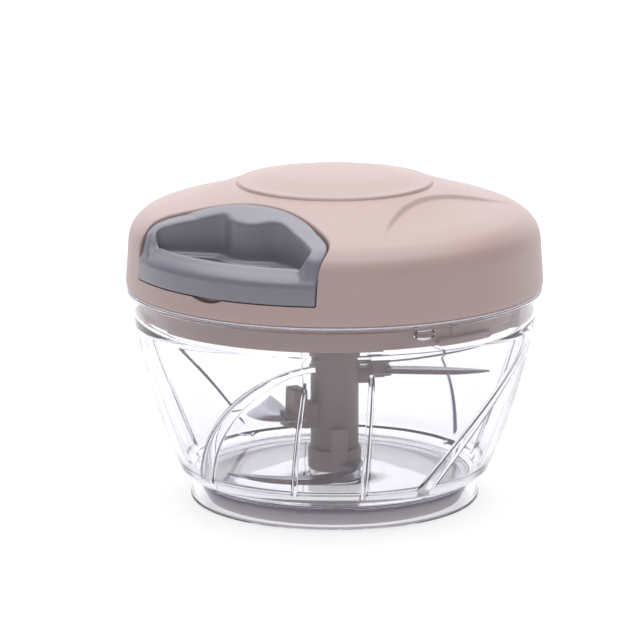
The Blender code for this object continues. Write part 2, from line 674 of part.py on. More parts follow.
def bayonet_track(azimuth, name):
    """Recess in the skirt for one lug, with a slanted wall that leads the lug in."""
    outer = RIM_BAND_RADIUS + 2 * RUN
    inner = RIM_BAND_RADIUS - 2 * RUN - TRACK_DEPTH
    build = bmesh.new()
    extrude_outline(build, band_outline(inner, outer, azimuth - RAMP_FOOT_ANGLE,
                                        azimuth + TRACK_HALF_ANGLE),
                    SKIRT_BOTTOM_Z - LID_WALL, TRACK_TOP_Z)
    foot = polar(outer, azimuth - RAMP_FOOT_ANGLE, SKIRT_BOTTOM_Z)
    head = polar(outer, azimuth - RAMP_HEAD_ANGLE, TRACK_TOP_Z)
    across = direction(azimuth - RAMP_HEAD_ANGLE)
    normal = (head - foot).cross(across)
    if normal.dot(direction(azimuth + 90.0)) < 0:
        normal.negate()
    bmesh.ops.bisect_plane(build, geom=build.verts[:] + build.edges[:] + build.faces[:],
                           plane_co=foot, plane_no=normal, clear_inner=True)
    bmesh.ops.holes_fill(build, edges=[edge for edge in build.edges if edge.is_boundary], sides=0)
    bmesh.ops.recalc_face_normals(build, faces=build.faces[:])
    return add_mesh(name, build, CUTTERS)


def make_lid_base():
    """Inner shell of the lid: skirt with three bayonet tracks, floor and the reel's bearing hub."""
    skirt_outer = RIM_BAND_RADIUS - RUN
    skirt_inner = skirt_outer - SKIRT_WALL
    floor_top = LID_FLOOR_Z + LID_FLOOR_THICKNESS
    flange_low = LID_EDGE_Z + SEAL_HEIGHT + SEAT
    flange_outer = LID_RADIUS - 0.0004 - LID_EDGE_WALL - SEAT
    hub_outer = HUB_BORE + HUB_WALL
    profile = [(flange_outer, flange_low + 0.6 * LID_WALL), (flange_outer, flange_low),
               (skirt_outer, flange_low), (skirt_outer, SKIRT_BOTTOM_Z),
               (skirt_inner, SKIRT_BOTTOM_Z), (skirt_inner, LID_FLOOR_Z),
               (hub_outer, LID_FLOOR_Z), (hub_outer, HUB_BOTTOM_Z), (HUB_BORE, HUB_BOTTOM_Z),
               (HUB_BORE, HUB_TOP_Z), (hub_outer, HUB_TOP_Z), (hub_outer, floor_top),
               (skirt_inner - LID_WALL, floor_top),
               (skirt_outer - LID_WALL, flange_low + 0.6 * LID_WALL)]
    base = turned("lid_base", profile, material=TAUPE_INNER, closed=True)
    tracks = []
    ledges = []
    for index in range(LUGS):
        azimuth = TRACK_AZIMUTH + index * 360.0 / LUGS
        tracks.append(bayonet_track(azimuth, f"bayonet_track_{index + 1}"))
        outline = band_outline(skirt_outer - TRACK_DEPTH - EMBED, skirt_outer,
                               azimuth - LEDGE_HALF_ANGLE, azimuth + LEDGE_HALF_ANGLE)
        ledges.append(prism(f"bayonet_ledge_{index + 1}", outline, SKIRT_BOTTOM_Z,
                            SKIRT_BOTTOM_Z + LEDGE_HEIGHT, CUTTERS))
    holes = []
    for index, azimuth in enumerate(SCREW_AZIMUTHS):
        place = polar(SCREW_CIRCLE, azimuth, 0.0)
        spot = (place.x, place.y)
        holes.append(cylinder(f"screw_hole_{index + 1}", SCREW_RADIUS + SEAT,
                              LID_FLOOR_Z - LID_WALL, floor_top + LID_WALL, spot, 12))
    cut(base, *tracks, *holes)
    merge(base, *ledges)


def make_lid_seal():
    """Flat silicone ring that the lid presses onto the bowl's rim."""
    outer = LID_RADIUS - 0.0004 - LID_EDGE_WALL - SEAT
    ring("lid_seal", RIM_BAND_RADIUS, outer, BOWL_RIM_Z + SEAT, BOWL_RIM_Z + SEAT + SEAL_HEIGHT,
         material=SEAL)


def make_screws():
    """Pan head screws driven up through the lid's floor into the cover's bosses."""
    head_top = LID_FLOOR_Z - SEAT
    for index, azimuth in enumerate(SCREW_AZIMUTHS):
        profile = [(0.0, head_top + SCREW_LENGTH), (SCREW_RADIUS, head_top + SCREW_LENGTH - 0.001),
                   (SCREW_RADIUS, head_top), (SCREW_HEAD_RADIUS, head_top),
                   (SCREW_HEAD_RADIUS, head_top - 0.6 * SCREW_HEAD_HEIGHT),
                   (0.7 * SCREW_HEAD_RADIUS, head_top - SCREW_HEAD_HEIGHT),
                   (0.0, head_top - SCREW_HEAD_HEIGHT)]
        screw = turned(f"housing_screw_{index + 1}", profile, material=STEEL, steps=12)
        screw.location = polar(SCREW_CIRCLE, azimuth, 0.0)


def make_bearing():
    """Acetal bush in the hub, thrust washer on it, steel axle in the crown and spring arbor."""
    ring("drive_bush", SHAFT_RADIUS + RUN, HUB_BORE - SEAT, HUB_BOTTOM_Z, HUB_TOP_Z,
         material=ACETAL, steps=SMALL_STEPS)
    ring("thrust_washer", SHAFT_RADIUS + RUN, WASHER_RADIUS, HUB_TOP_Z + SEAT,
         HUB_TOP_Z + SEAT + WASHER_THICKNESS, material=STEEL, steps=SMALL_STEPS)
    top = REEL_TOP_Z + 0.5 * AXLE_LENGTH
    tip = 0.3 * AXLE_RADIUS
    profile = [(0.0, top), (AXLE_RADIUS - tip, top), (AXLE_RADIUS, top - tip),
               (AXLE_RADIUS, top - AXLE_LENGTH + tip), (AXLE_RADIUS - tip, top - AXLE_LENGTH),
               (0.0, top - AXLE_LENGTH)]
    turned("reel_axle", profile, material=STEEL, steps=SMALL_STEPS)
    ring("spring_arbor", AXLE_RADIUS + SEAT, ARBOR_RADIUS, REEL_BOTTOM_Z + 2 * REEL_FLANGE + RUN,
         REEL_TOP_Z + 0.0033, material=ACETAL, steps=SMALL_STEPS)


def make_cord_reel():
    """Reel in one moulding: drum, two flanges, spring pocket and the dog that drives the rotor."""
    pocket = DRUM_RADIUS - DRUM_WALL
    pocket_floor = REEL_BOTTOM_Z + 2 * REEL_FLANGE
    bore_floor = REEL_TOP_Z - 0.5 * AXLE_LENGTH - RUN
    rebate_z = REEL_TOP_Z - SPRING_COVER - SEAT
    rebate = pocket + 0.5 * DRUM_WALL
    profile = [(0.0, bore_floor), (AXLE_RADIUS + RUN, bore_floor),
               (AXLE_RADIUS + RUN, pocket_floor), (pocket, pocket_floor), (pocket, rebate_z),
               (rebate, rebate_z), (rebate, REEL_TOP_Z), (REEL_FLANGE_RADIUS, REEL_TOP_Z),
               (REEL_FLANGE_RADIUS, DRUM_TOP_Z), (DRUM_RADIUS, DRUM_TOP_Z),
               (DRUM_RADIUS, REEL_BOTTOM_Z + REEL_FLANGE),
               (REEL_FLANGE_RADIUS, REEL_BOTTOM_Z + REEL_FLANGE),
               (REEL_FLANGE_RADIUS, REEL_BOTTOM_Z), (SHAFT_RADIUS, REEL_BOTTOM_Z),
               (SHAFT_RADIUS, HUB_BOTTOM_Z), (DOG_CORE_RADIUS, HUB_BOTTOM_Z),
               (DOG_CORE_RADIUS, DOG_TIP_Z), (0.0, DOG_TIP_Z)]
    reel = turned("cord_reel", profile, material=ACETAL, steps=REEL_STEPS)
    for index in range(3):
        middle = index * 120.0
        outline = band_outline(DOG_CORE_RADIUS - EMBED, SHAFT_RADIUS - SEAT,
                               middle - DOG_ANGLE / 2, middle + DOG_ANGLE / 2)
        merge(reel, prism(f"drive_dog_{index + 1}", outline, DOG_TIP_Z + SEAT,
                          HUB_BOTTOM_Z + SEAT, CUTTERS))
    ring("spring_cover", ARBOR_RADIUS + RUN, rebate - SEAT, REEL_TOP_Z - SPRING_COVER, REEL_TOP_Z,
         material=STEEL, steps=REEL_STEPS)


def spring_point(turns, grow):
    start = ARBOR_RADIUS + RUN + SPRING_THICKNESS
    end = DRUM_RADIUS - DRUM_WALL - RUN - SPRING_THICKNESS
    radius = start + (end - start) * turns / SPRING_TURNS + grow
    return polar(radius, 360.0 * turns, 0.0)


def make_recoil_spring():
    """Flat steel spring wound from the arbor out to the drum's wall."""
    low = REEL_BOTTOM_Z + 2 * REEL_FLANGE + RUN
    high = low + SPRING_HEIGHT
    count = int(SPRING_TURNS * 18) + 1
    half = SPRING_THICKNESS / 2
    sections = []
    for turns in spread(0.0, SPRING_TURNS, count):
        section = []
        for grow, z in ((-half, low), (half, low), (half, high), (-half, high)):
            section.append(spring_point(turns, grow) + Vector((0.0, 0.0, z)))
        sections.append(section)
    add_mesh("recoil_spring", loft(sections), material=STEEL)
    pitch = (spring_point(1.0, 0.0) - spring_point(0.0, 0.0)).length
    print("recoil spring: gap between turns", round(1000 * (pitch - SPRING_THICKNESS), 2), "mm")


def tube(name, points, material, resolution):
    """A cord along its points: a poly curve with a round section and closed ends."""
    curve = bpy.data.curves.new(name, "CURVE")
    curve.dimensions = "3D"
    curve.bevel_depth = CORD_DIAMETER / 2
    curve.bevel_resolution = resolution
    curve.use_fill_caps = True
    spline = curve.splines.new("POLY")
    spline.points.add(len(points) - 1)
    for spot, point in zip(spline.points, points):
        spot.co = (*point, 1.0)
    curve.materials.append(material)
    obj = bpy.data.objects.new(name, curve)
    PARTS.objects.link(obj)
    return obj


def tangent_turn():
    """Angle at the reel between the eyelet and the point where the cord leaves the drum."""
    return math.degrees(math.acos(WIND_RADIUS / LEAD_SPAN))


def wind_point(turns):
    """A point on the winding. It ends where the cord leaves the drum for the eyelet."""
    leave = -tangent_turn()
    azimuth = leave - 360.0 * (CORD_TURNS - turns)
    return polar(WIND_RADIUS, azimuth, WIND_BOTTOM_Z + turns * CORD_PITCH)


def make_wound_cord():
    """Braided cord in one layer on the drum, its last turn ending in a short straight run."""
    count = CORD_TURNS * 24 + 1
    points = [wind_point(turns) for turns in spread(0.0, CORD_TURNS, count)]
    gaps = [(points[index] - other).length for index in range(count)
            for other in points[index + 12:]]
    print("wound cord: gap to itself", round(1000 * (min(gaps) - CORD_DIAMETER), 2), "mm")
    leave = direction(90.0 - tangent_turn())
    points.append(points[-1] + leave * CORD_DIAMETER)
    tube("pull_cord_wound", points, CORD, 1)


def make_cord_lead():
    """Cord from the reel through the eyelet to the knot in the handle, and the knot itself."""
    leave = direction(90.0 - tangent_turn())
    start = wind_point(CORD_TURNS) + leave * (CORD_DIAMETER + SEAT)
    turn = Vector((0.0, -LEAD_SPAN + 0.0008, WIND_TOP_Z))
    knot_y = -(GRIP_BACK + BUMP_FRONT) / 2
    end = Vector((0.0, knot_y + KNOT_DIAMETER / 2 + SEAT, WIND_TOP_Z))
    corner_in = turn + (start - turn).normalized() * 0.0030
    corner_out = turn + Vector((0.0, -0.0026, 0.0))
    middle = (corner_in + corner_out + 2 * turn) / 4
    points = [start, start.lerp(corner_in, 0.5), corner_in,
              (corner_in + middle) / 2 + (turn - middle) * 0.25, middle,
              (corner_out + middle) / 2 + (turn - middle) * 0.25, corner_out,
              corner_out.lerp(end, 0.5), end]
    tube("cord_lead", points, CORD, 2)
    build = bmesh.new()
    bmesh.ops.create_uvsphere(build, u_segments=12, v_segments=8, radius=KNOT_DIAMETER / 2)
    bmesh.ops.translate(build, vec=(0.0, knot_y, WIND_TOP_Z), verts=build.verts[:])
    add_mesh("cord_knot", build, material=CORD)


def make_eyelet():
    """Acetal eyelet in the pocket's back wall, with a lip on the reel's side."""
    top = -LEAD_SPAN + SEAT + EYELET_LIP
    front = -LEAD_SPAN - POCKET_WALL + SEAT
    bore = CORD_DIAMETER / 2 + 2 * RUN
    lip = EYELET_RADIUS + EYELET_LIP
    profile = [(lip, top), (lip, top - EYELET_LIP), (EYELET_RADIUS, top - EYELET_LIP),
               (EYELET_RADIUS, front), (bore, front), (bore, front + 0.3 * POCKET_WALL),
               (EYELET_RADIUS, top)]
    eyelet = turned("cord_eyelet", profile, material=ACETAL, steps=SMALL_STEPS, closed=True)
    eyelet.rotation_euler = (-math.pi / 2, 0.0, 0.0)
    eyelet.location = (0.0, 0.0, WIND_TOP_Z)


def handle_crown():
    """Solid under the handle's top: it follows the dome, then falls to the top of the face."""
    outer = lid_outer_profile()
    dome = [(radius, height) for radius, height in outer if radius < 0.76 * LID_RADIUS]
    face = LID_RADIUS - HANDLE_FACE_INSET
    drop = dome[-1][1] - HANDLE_FACE_TOP_Z
    slope = [(0.82 * LID_RADIUS, dome[-1][1] - 0.14 * drop),
             (0.865 * LID_RADIUS, dome[-1][1] - 0.38 * drop),
             (0.912 * LID_RADIUS, dome[-1][1] - 0.66 * drop),
             (0.944 * LID_RADIUS, dome[-1][1] - 0.78 * drop),
             (0.976 * LID_RADIUS, dome[-1][1] - 0.88 * drop), (face, HANDLE_FACE_TOP_Z)]
    return turned("handle_crown", dome + slope + [(face, HANDLE_BOTTOM_Z), (0.0, HANDLE_BOTTOM_Z)],
                  CUTTERS)


def make_handle():
    """Moulded pull handle: a deep ring for the fingers, with a ledge round its floor."""
    outline = handle_outline(LID_RADIUS + LID_WALL)
    handle = prism("pull_handle", outline, HANDLE_BOTTOM_Z - LID_WALL, LID_HEIGHT,
                   material=SLATE)
    cut(handle, handle_crown(), operation="INTERSECT")
    well = prism("grip_well", grip_outline(), HANDLE_BOTTOM_Z + HANDLE_FLOOR,
                 LID_HEIGHT + LID_WALL, CUTTERS)
    through = prism("grip_floor_opening", grip_outline(HANDLE_LEDGE),
                    HANDLE_BOTTOM_Z - 2 * LID_WALL, HANDLE_BOTTOM_Z + 2 * HANDLE_FLOOR, CUTTERS)
    knot_y = (GRIP_BACK + BUMP_FRONT) / 2
    knot_room = cylinder("knot_room", KNOT_DIAMETER / 2 + SEAT, HANDLE_BOTTOM_Z - LID_WALL,
                         WIND_TOP_Z + KNOT_DIAMETER / 2 + SEAT, (0.0, -knot_y), 16)
    build = bmesh.new()
    bmesh.ops.create_cone(build, cap_ends=True, segments=16, radius1=CORD_DIAMETER / 2 + RUN,
                          radius2=CORD_DIAMETER / 2 + RUN, depth=knot_y - HANDLE_BACK + LID_WALL)
    bmesh.ops.rotate(build, matrix=Matrix.Rotation(math.pi / 2, 3, "X"), verts=build.verts[:])
    along = -(knot_y + HANDLE_BACK - LID_WALL) / 2
    bmesh.ops.translate(build, vec=(0.0, along, WIND_TOP_Z), verts=build.verts[:])
    cut(handle, well, through, knot_room, add_mesh("cord_way", build, CUTTERS))


def blade(root, arm_azimuth, tip_radius, sweep, width, height, grow=0.0):
    """A sickle blade as a loft: thick at its back, ground to an edge on its leading side."""
    sections = []
    thick = BLADE_THICKNESS / 2 + grow
    start = root - grow

    def spine(share):
        radius = start + (tip_radius - start) * share
        return polar(radius, arm_azimuth - sweep * share ** 1.25, height)

    for share in spread(0.0, 1.0, 13):
        here = spine(share)
        ahead = spine(min(share + 0.01, 1.0)) - spine(max(share - 0.01, 0.0))
        side = Vector((-ahead.y, ahead.x, 0.0)).normalized()
        tang = 0.62 + 0.38 * min(1.0, share / 0.25)
        half = width / 2 * (1.0 - 0.9 * share ** 2.4) * tang + grow
        edge = thick if grow else 0.2 * thick
        section = [here - side * half + Vector((0.0, 0.0, -thick)),
                   here - side * half + Vector((0.0, 0.0, thick)),
                   here + side * 0.35 * half + Vector((0.0, 0.0, thick)),
                   here + side * half + Vector((0.0, 0.0, -thick + 2 * edge)),
                   here + side * half + Vector((0.0, 0.0, -thick))]
        sections.append(section)
    return loft(sections)


def arm(name, azimuth, height, neck, head):
    """Blade arm in three steps: a low neck, a tall head that holds the tang, and a narrow nose."""
    nose_top = min(head[1], 3.2 * BLADE_THICKNESS / 2)
    return (block(f"{name}_neck", COLUMN_RADIUS - EMBED, ARM_HEAD_START + EMBED, ARM_NECK_WIDTH,
                  height + neck[0], height + neck[1], azimuth),
            block(f"{name}_head", ARM_HEAD_START, ARM_HEAD_END, ARM_HEAD_WIDTH,
                  height + head[0], height + head[1], azimuth, 0.0006),
            block(f"{name}_nose", ARM_HEAD_END - EMBED, ARM_NOSE_END, ARM_NOSE_WIDTH,
                  height + 0.9 * head[0], height + nose_top, azimuth))


def make_blades():
    """Three stamped and ground sickle blades at three heights, with their slots."""
    kinds = (("blade_upper", ARM_BLADE_ROOT, UPPER_ARM_AZIMUTH, UPPER_TIP_RADIUS, UPPER_SWEEP,
              UPPER_WIDTH, UPPER_BLADE_Z),
             ("blade_middle", ARM_BLADE_ROOT, MIDDLE_ARM_AZIMUTH, MIDDLE_TIP_RADIUS,
              MIDDLE_SWEEP, MIDDLE_WIDTH, MIDDLE_BLADE_Z),
             ("blade_lower", FOOT_BLADE_ROOT, LOWER_ARM_AZIMUTH, LOWER_TIP_RADIUS, LOWER_SWEEP,
              LOWER_WIDTH, LOWER_BLADE_Z))
    slots = []
    for name, *sizes in kinds:
        add_mesh(name, blade(*sizes), material=STEEL)
        slots.append(add_mesh(f"{name}_slot", blade(*sizes, SEAT), CUTTERS))
    return slots


def make_rotor():
    """Rotor column with two blade arms and the drive socket, and its clipped-on foot."""
    upper_slot, middle_slot, lower_slot = make_blades()
    spigot = FOOT_COLLAR_RADIUS - FOOT_COLLAR_WALL - SEAT
    low = BOWL_FLOOR_Z + 3 * RUN
    bore = PIN_RADIUS + RUN
    step = FOOT_COLLAR_TOP_Z + SEAT
    profile = [(0.0, COLUMN_TOP_Z - SOCKET_DEPTH), (SOCKET_RADIUS, COLUMN_TOP_Z - SOCKET_DEPTH),
               (SOCKET_RADIUS, COLUMN_TOP_Z), (COLLAR_RADIUS, COLUMN_TOP_Z),
               (COLLAR_RADIUS, COLLAR_Z), (COLUMN_RADIUS, COLLAR_Z - 0.0003),
               (COLUMN_RADIUS, step), (spigot, step), (spigot, low), (bore, low),
               (bore, BORE_TOP_Z), (0.0, BORE_TOP_Z)]
    column = turned("rotor_column", profile, material=TAUPE_INNER, steps=REEL_STEPS)
    merge(column, *arm("upper_arm", UPPER_ARM_AZIMUTH, UPPER_BLADE_Z, UPPER_NECK, UPPER_HEAD),
          *arm("middle_arm", MIDDLE_ARM_AZIMUTH, MIDDLE_BLADE_Z, MIDDLE_NECK, MIDDLE_HEAD))
    for index in range(3):
        middle = 60.0 + index * 120.0
        outline = band_outline(SOCKET_RADIUS - TOOTH_PROUD, SOCKET_RADIUS + EMBED,
                               middle - DOG_ANGLE / 2, middle + DOG_ANGLE / 2)
        merge(column, prism(f"socket_tooth_{index + 1}", outline,
                            COLUMN_TOP_Z - SOCKET_DEPTH - SEAT, COLUMN_TOP_Z - SEAT, CUTTERS))
    cut(column, upper_slot, middle_slot)
    foot = ring("rotor_foot", FOOT_COLLAR_RADIUS - FOOT_COLLAR_WALL, FOOT_COLLAR_RADIUS, low,
                FOOT_COLLAR_TOP_Z, material=TAUPE_INNER, steps=REEL_STEPS)
    merge(foot, block("foot_key", COLUMN_RADIUS + RUN, COLUMN_RADIUS + RUN + KEY_PROUD,
                      KEY_WIDTH, FOOT_COLLAR_TOP_Z - 0.0020, KEY_TOP_Z, KEY_AZIMUTH))
    cut(foot, lower_slot)


def group(name, names, parent=None):
    """An empty on the bowl's axis that carries one moving body's pieces."""
    holder = bpy.data.objects.new(name, None)
    holder.empty_display_size = LID_RADIUS / 4
    PARTS.objects.link(holder)
    holder.parent = parent
    for piece in names:
        bpy.data.objects[piece].parent = holder
    return holder


def group_bodies():
    screws = [f"housing_screw_{index + 1}" for index in range(len(SCREW_AZIMUTHS))]
    lift = group("lid_lift_axis", ["lid_seal"])
    lid = group("lid_turn_axis", ["lid_cover", "lid_base", "cord_eyelet", "reel_axle",
                                  "spring_arbor", "drive_bush", "thrust_washer", *screws], lift)
    group("handle_pull_axis", ["pull_handle", "cord_lead", "cord_knot"], lid)
    group("reel_spin_axis", ["cord_reel", "spring_cover", "recoil_spring", "pull_cord_wound"], lid)
    group("rotor_spin_axis", ["rotor_column", "rotor_foot", "blade_upper", "blade_middle",
                              "blade_lower"])


make_bowl()
make_anti_slip_ring()
make_lid_cover()
make_lid_base()
make_lid_seal()
make_screws()
make_bearing()
make_cord_reel()
make_recoil_spring()
make_wound_cord()
make_cord_lead()
make_eyelet()
make_handle()
make_rotor()
group_bodies()
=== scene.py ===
"""A pull cord food chopper for its portrait, piece by piece in the order it is put together.

Metres, +Z up. An azimuth is measured in degrees from -Y, where the handle is, towards +X.
"""
import math

import bpy
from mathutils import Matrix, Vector


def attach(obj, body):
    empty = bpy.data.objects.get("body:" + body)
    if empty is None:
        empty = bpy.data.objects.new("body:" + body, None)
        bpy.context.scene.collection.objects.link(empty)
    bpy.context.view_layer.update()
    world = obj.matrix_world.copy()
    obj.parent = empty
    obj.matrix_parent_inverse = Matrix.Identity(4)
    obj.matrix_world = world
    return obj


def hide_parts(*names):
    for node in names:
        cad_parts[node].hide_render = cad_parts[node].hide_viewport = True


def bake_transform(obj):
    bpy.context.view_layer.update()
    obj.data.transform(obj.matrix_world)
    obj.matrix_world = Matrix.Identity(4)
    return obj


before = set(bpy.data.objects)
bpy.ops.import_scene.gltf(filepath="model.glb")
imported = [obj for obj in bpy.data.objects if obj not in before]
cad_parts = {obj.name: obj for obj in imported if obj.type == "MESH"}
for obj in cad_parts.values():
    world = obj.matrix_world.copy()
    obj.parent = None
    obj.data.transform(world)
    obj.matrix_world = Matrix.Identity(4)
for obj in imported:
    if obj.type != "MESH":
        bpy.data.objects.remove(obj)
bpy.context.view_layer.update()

# Camera: a long lens a little above the rim, as far round to the right of the handle as the
# photograph's. The shift only centres the object as the photograph does.
VIEW_AZIMUTH = 36.4
VIEW_ELEVATION = 12.89
VIEW_DISTANCE = 1.200
VIEW_HEIGHT = 0.050
LENS_LENGTH = 224.04
FRAME_WIDTH = 640
SHIFT_ACROSS = -14.6
SHIFT_UP = 13.41


def direction(azimuth, rise=0.0):
    """Unit vector for an azimuth and an angle above the horizontal, in degrees."""
    turn = math.radians(azimuth)
    lift = math.radians(rise)
    level = math.cos(lift)
    return Vector((math.sin(turn) * level, -math.cos(turn) * level, math.sin(lift)))


view_spot = Vector((0.0, 0.0, VIEW_HEIGHT))
view_way = direction(VIEW_AZIMUTH, VIEW_ELEVATION)
bpy.ops.object.camera_add(location=view_spot + VIEW_DISTANCE * view_way)
camera = bpy.context.object
camera.name = "portrait_camera"
camera.rotation_euler = (view_spot - camera.location).to_track_quat("-Z", "Y").to_euler()
camera.data.sensor_width = 36.0
camera.data.lens = LENS_LENGTH
camera.data.shift_x = SHIFT_ACROSS / FRAME_WIDTH
camera.data.shift_y = SHIFT_UP / FRAME_WIDTH
camera.data.clip_start = 0.05
camera.data.clip_end = 30.0
bpy.context.scene.camera = camera

# Studio: a white table, one wide soft light overhead and a bright wall behind the object. The
# wall on the camera's side is left a dark violet, so that the clear bowl's ribs show as lines.
TABLE_SIZE = 14.0
LIGHT_OVERHEAD = 2.9
LIGHT_BACK_WALL = 1.4
LIGHT_FRONT_WALL = 0.10
BACK_WALL_AZIMUTH = -143.0
WALL_SHADE = (0.42, 0.37, 0.95, 1.0)
WALL_LIT = (0.985, 0.98, 1.0, 1.0)
PAPER_GLOW = 0.76
scene = bpy.context.scene


def hex_colour(code):
    """Linear colour of an sRGB hex code."""
    channels = [int(code[start:start + 2], 16) / 255 for start in (0, 2, 4)]
    linear = [c / 12.92 if c <= 0.04045 else ((c + 0.055) / 1.055) ** 2.4 for c in channels]
    return (*linear, 1.0)


def add_node(tree, kind, settings=None, links=None):
    """One node, with its properties or socket values set and its inputs linked."""
    node = tree.nodes.new(kind)
    for key, value in (settings or {}).items():
        if isinstance(key, int) or key in node.inputs:
            node.inputs[key].default_value = value
        else:
            setattr(node, key, value)
    for key, source in (links or {}).items():
        tree.links.new(source, node.inputs[key])
    return node


def new_material(name):
    """A material with its shader and output: (material, tree, shader, the piece's coordinates)."""
    material = bpy.data.materials.new(name)
    material.use_nodes = True
    tree = material.node_tree
    tree.nodes.clear()
    shader = add_node(tree, "ShaderNodeBsdfPrincipled")
    add_node(tree, "ShaderNodeOutputMaterial", links={"Surface": shader.outputs["BSDF"]})
    return material, tree, shader, add_node(tree, "ShaderNodeTexCoord").outputs["Object"]


def finish(shader, sockets):
    """Sets the shader's sockets to values, or links those that a pattern drives."""
    for key, value in sockets.items():
        if isinstance(value, bpy.types.NodeSocket):
            shader.id_data.links.new(value, shader.inputs[key])
        else:
            shader.inputs[key].default_value = value


world = bpy.data.worlds.new("studio")
scene.world = world
world.use_nodes = True
sky = world.node_tree
sky.nodes.clear()
sky_way = add_node(sky, "ShaderNodeTexCoord")
to_back = add_node(sky, "ShaderNodeVectorMath",
                   {"operation": "DOT_PRODUCT", 1: direction(BACK_WALL_AZIMUTH)},
                   {0: sky_way.outputs["Generated"]})
wall = add_node(sky, "ShaderNodeMapRange",
                {"interpolation_type": "SMOOTHSTEP", "From Min": 0.35, "From Max": 0.95,
                 "To Min": LIGHT_FRONT_WALL, "To Max": LIGHT_BACK_WALL},
                {"Value": to_back.outputs["Value"]})
sky_axes = add_node(sky, "ShaderNodeSeparateXYZ", links={0: sky_way.outputs["Generated"]})
overhead = add_node(sky, "ShaderNodeMapRange",
                    {"interpolation_type": "SMOOTHSTEP", "From Min": 0.58, "From Max": 0.88,
                     "To Min": 0.0, "To Max": LIGHT_OVERHEAD}, {"Value": sky_axes.outputs["Z"]})
both = add_node(sky, "ShaderNodeMath", {"operation": "ADD"},
                {0: wall.outputs["Result"], 1: overhead.outputs["Result"]})
lit = add_node(sky, "ShaderNodeMapRange", {"From Min": 0.12, "From Max": 0.60},
               {"Value": both.outputs["Value"]})
cast = add_node(sky, "ShaderNodeMix", {"data_type": "RGBA", 6: WALL_SHADE, 7: WALL_LIT},
                {0: lit.outputs["Result"]})
sky_light = add_node(sky, "ShaderNodeBackground",
                     links={"Color": cast.outputs[2], "Strength": both.outputs["Value"]})
add_node(sky, "ShaderNodeOutputWorld", links={"Surface": sky_light.outputs["Background"]})

bpy.ops.mesh.primitive_plane_add(size=TABLE_SIZE)
table = bpy.context.object
table.name = "studio_table"
# Paper, pressed from fibre of about a millimetre: quite matt, and it glows so far that its shadow
# stays as faint as on a lit table.
paper, tree, shader, place = new_material("matt_white_paper")
fibre = add_node(tree, "ShaderNodeTexNoise", {"Scale": 900.0, "Detail": 3.0}, {"Vector": place})
tooth = add_node(tree, "ShaderNodeBump", {"Strength": 0.05, "Distance": 0.00005},
                 {"Height": fibre.outputs["Fac"]})
finish(shader, {"Normal": tooth.outputs["Normal"], "Base Color": (0.27, 0.27, 0.272, 1.0),
                "Roughness": 0.9, "Emission Color": (1.0, 0.995, 1.0, 1.0),
                "Emission Strength": PAPER_GLOW, "Specular IOR Level": 0.1})
table.data.materials.append(paper)

scene.view_settings.view_transform = "Standard"
scene.view_settings.look = "None"
scene.cycles.max_bounces = 24
scene.cycles.transmission_bounces = 20
scene.cycles.transparent_max_bounces = 16
scene.cycles.glossy_bounces = 6

# Bowl: one injection moulding in clear polycarbonate. Its wall, floor, pivot pin and flared foot
# are turned from one section, and the ribs and bayonet lugs are moulded onto them.
BOWL_WALL = 0.0022
BOWL_FLOOR_Z = 0.0080
BOWL_UNDER_Z = 0.0060
BOWL_CORNER_RADIUS = 0.0463
BOWL_CORNER_Z = 0.0093
BOWL_RIM_RADIUS = 0.0614
BOWL_RIM_Z = 0.0650
BOWL_LIP_RADIUS = 0.0623
BOWL_BELLY = 0.0099
RIM_BAND_RADIUS = 0.0592
RIM_BAND_Z = 0.0572
FOOT_RADIUS = 0.0437
FOOT_NECK_RADIUS = 0.0412
PIN_RADIUS = 0.0029
PIN_TOP_Z = 0.0348
RIB_FOOT_Z = 0.0092
SWIRL_TOP_Z = 0.0528
SWIRL_AZIMUTH = 31.0
SWIRL_SWEEP = 51.0
STAY_TOP_Z = 0.0485
STAY_AZIMUTH = 28.0
STAY_LEAN = 7.0
POST_TOP_Z = 0.0510
POST_AZIMUTH = 47.0
LUG_AZIMUTH = 61.9
LUG_Z = 0.0621
LUG_HALF_LENGTH = 0.0035
LUG_STAND = 0.0017


def polar(radius, azimuth, height):
    return radius * direction(azimuth) + Vector((0.0, 0.0, height))


def spread(first, last, count):
    """Evenly spaced values from first to last, both included."""
    return [first + (last - first) * index / (count - 1) for index in range(count)]


def clamp(value, low=0.0, high=1.0):
    return min(high, max(low, value))


def ease(share):
    """Smooth step from 0 to 1."""
    share = clamp(share)
    return share * share * (3.0 - 2.0 * share)


def rounded(points, reach, count=4):
    """The line of points with each corner replaced by a short curve that starts reach before it."""
    out = []
    last = len(points) - 1
    for index, point in enumerate(points):
        if index in (0, last):
            out.append(point)
            continue
        here = Vector(point)
        before = Vector(points[index - 1]) - here
        after = Vector(points[index + 1]) - here
        first = here + before.normalized() * min(reach, 0.45 * before.length)
        second = here + after.normalized() * min(reach, 0.45 * after.length)
        for share in spread(0.0, 1.0, count):
            out.append(tuple(first.lerp(here, share).lerp(here.lerp(second, share), share)))
    return out


def deselect():
    """Nothing selected and no edit mode: an operator acts on all that is selected."""
    if bpy.context.mode != "OBJECT":
        bpy.ops.object.mode_set(mode="OBJECT")
    bpy.ops.object.select_all(action="DESELECT")


def pick(piece):
    """One piece selected alone and active."""
    deselect()
    piece.select_set(True)
    bpy.context.view_layer.objects.active = piece


def close_up(piece, merge=0.000002):
    """Merges what coincides and points the faces outwards."""
    pick(piece)
    bpy.ops.object.mode_set(mode="EDIT")
    bpy.ops.mesh.select_all(action="SELECT")
    bpy.ops.mesh.remove_doubles(threshold=merge)
    bpy.ops.mesh.normals_make_consistent(inside=False)
    bpy.ops.object.mode_set(mode="OBJECT")
    return piece


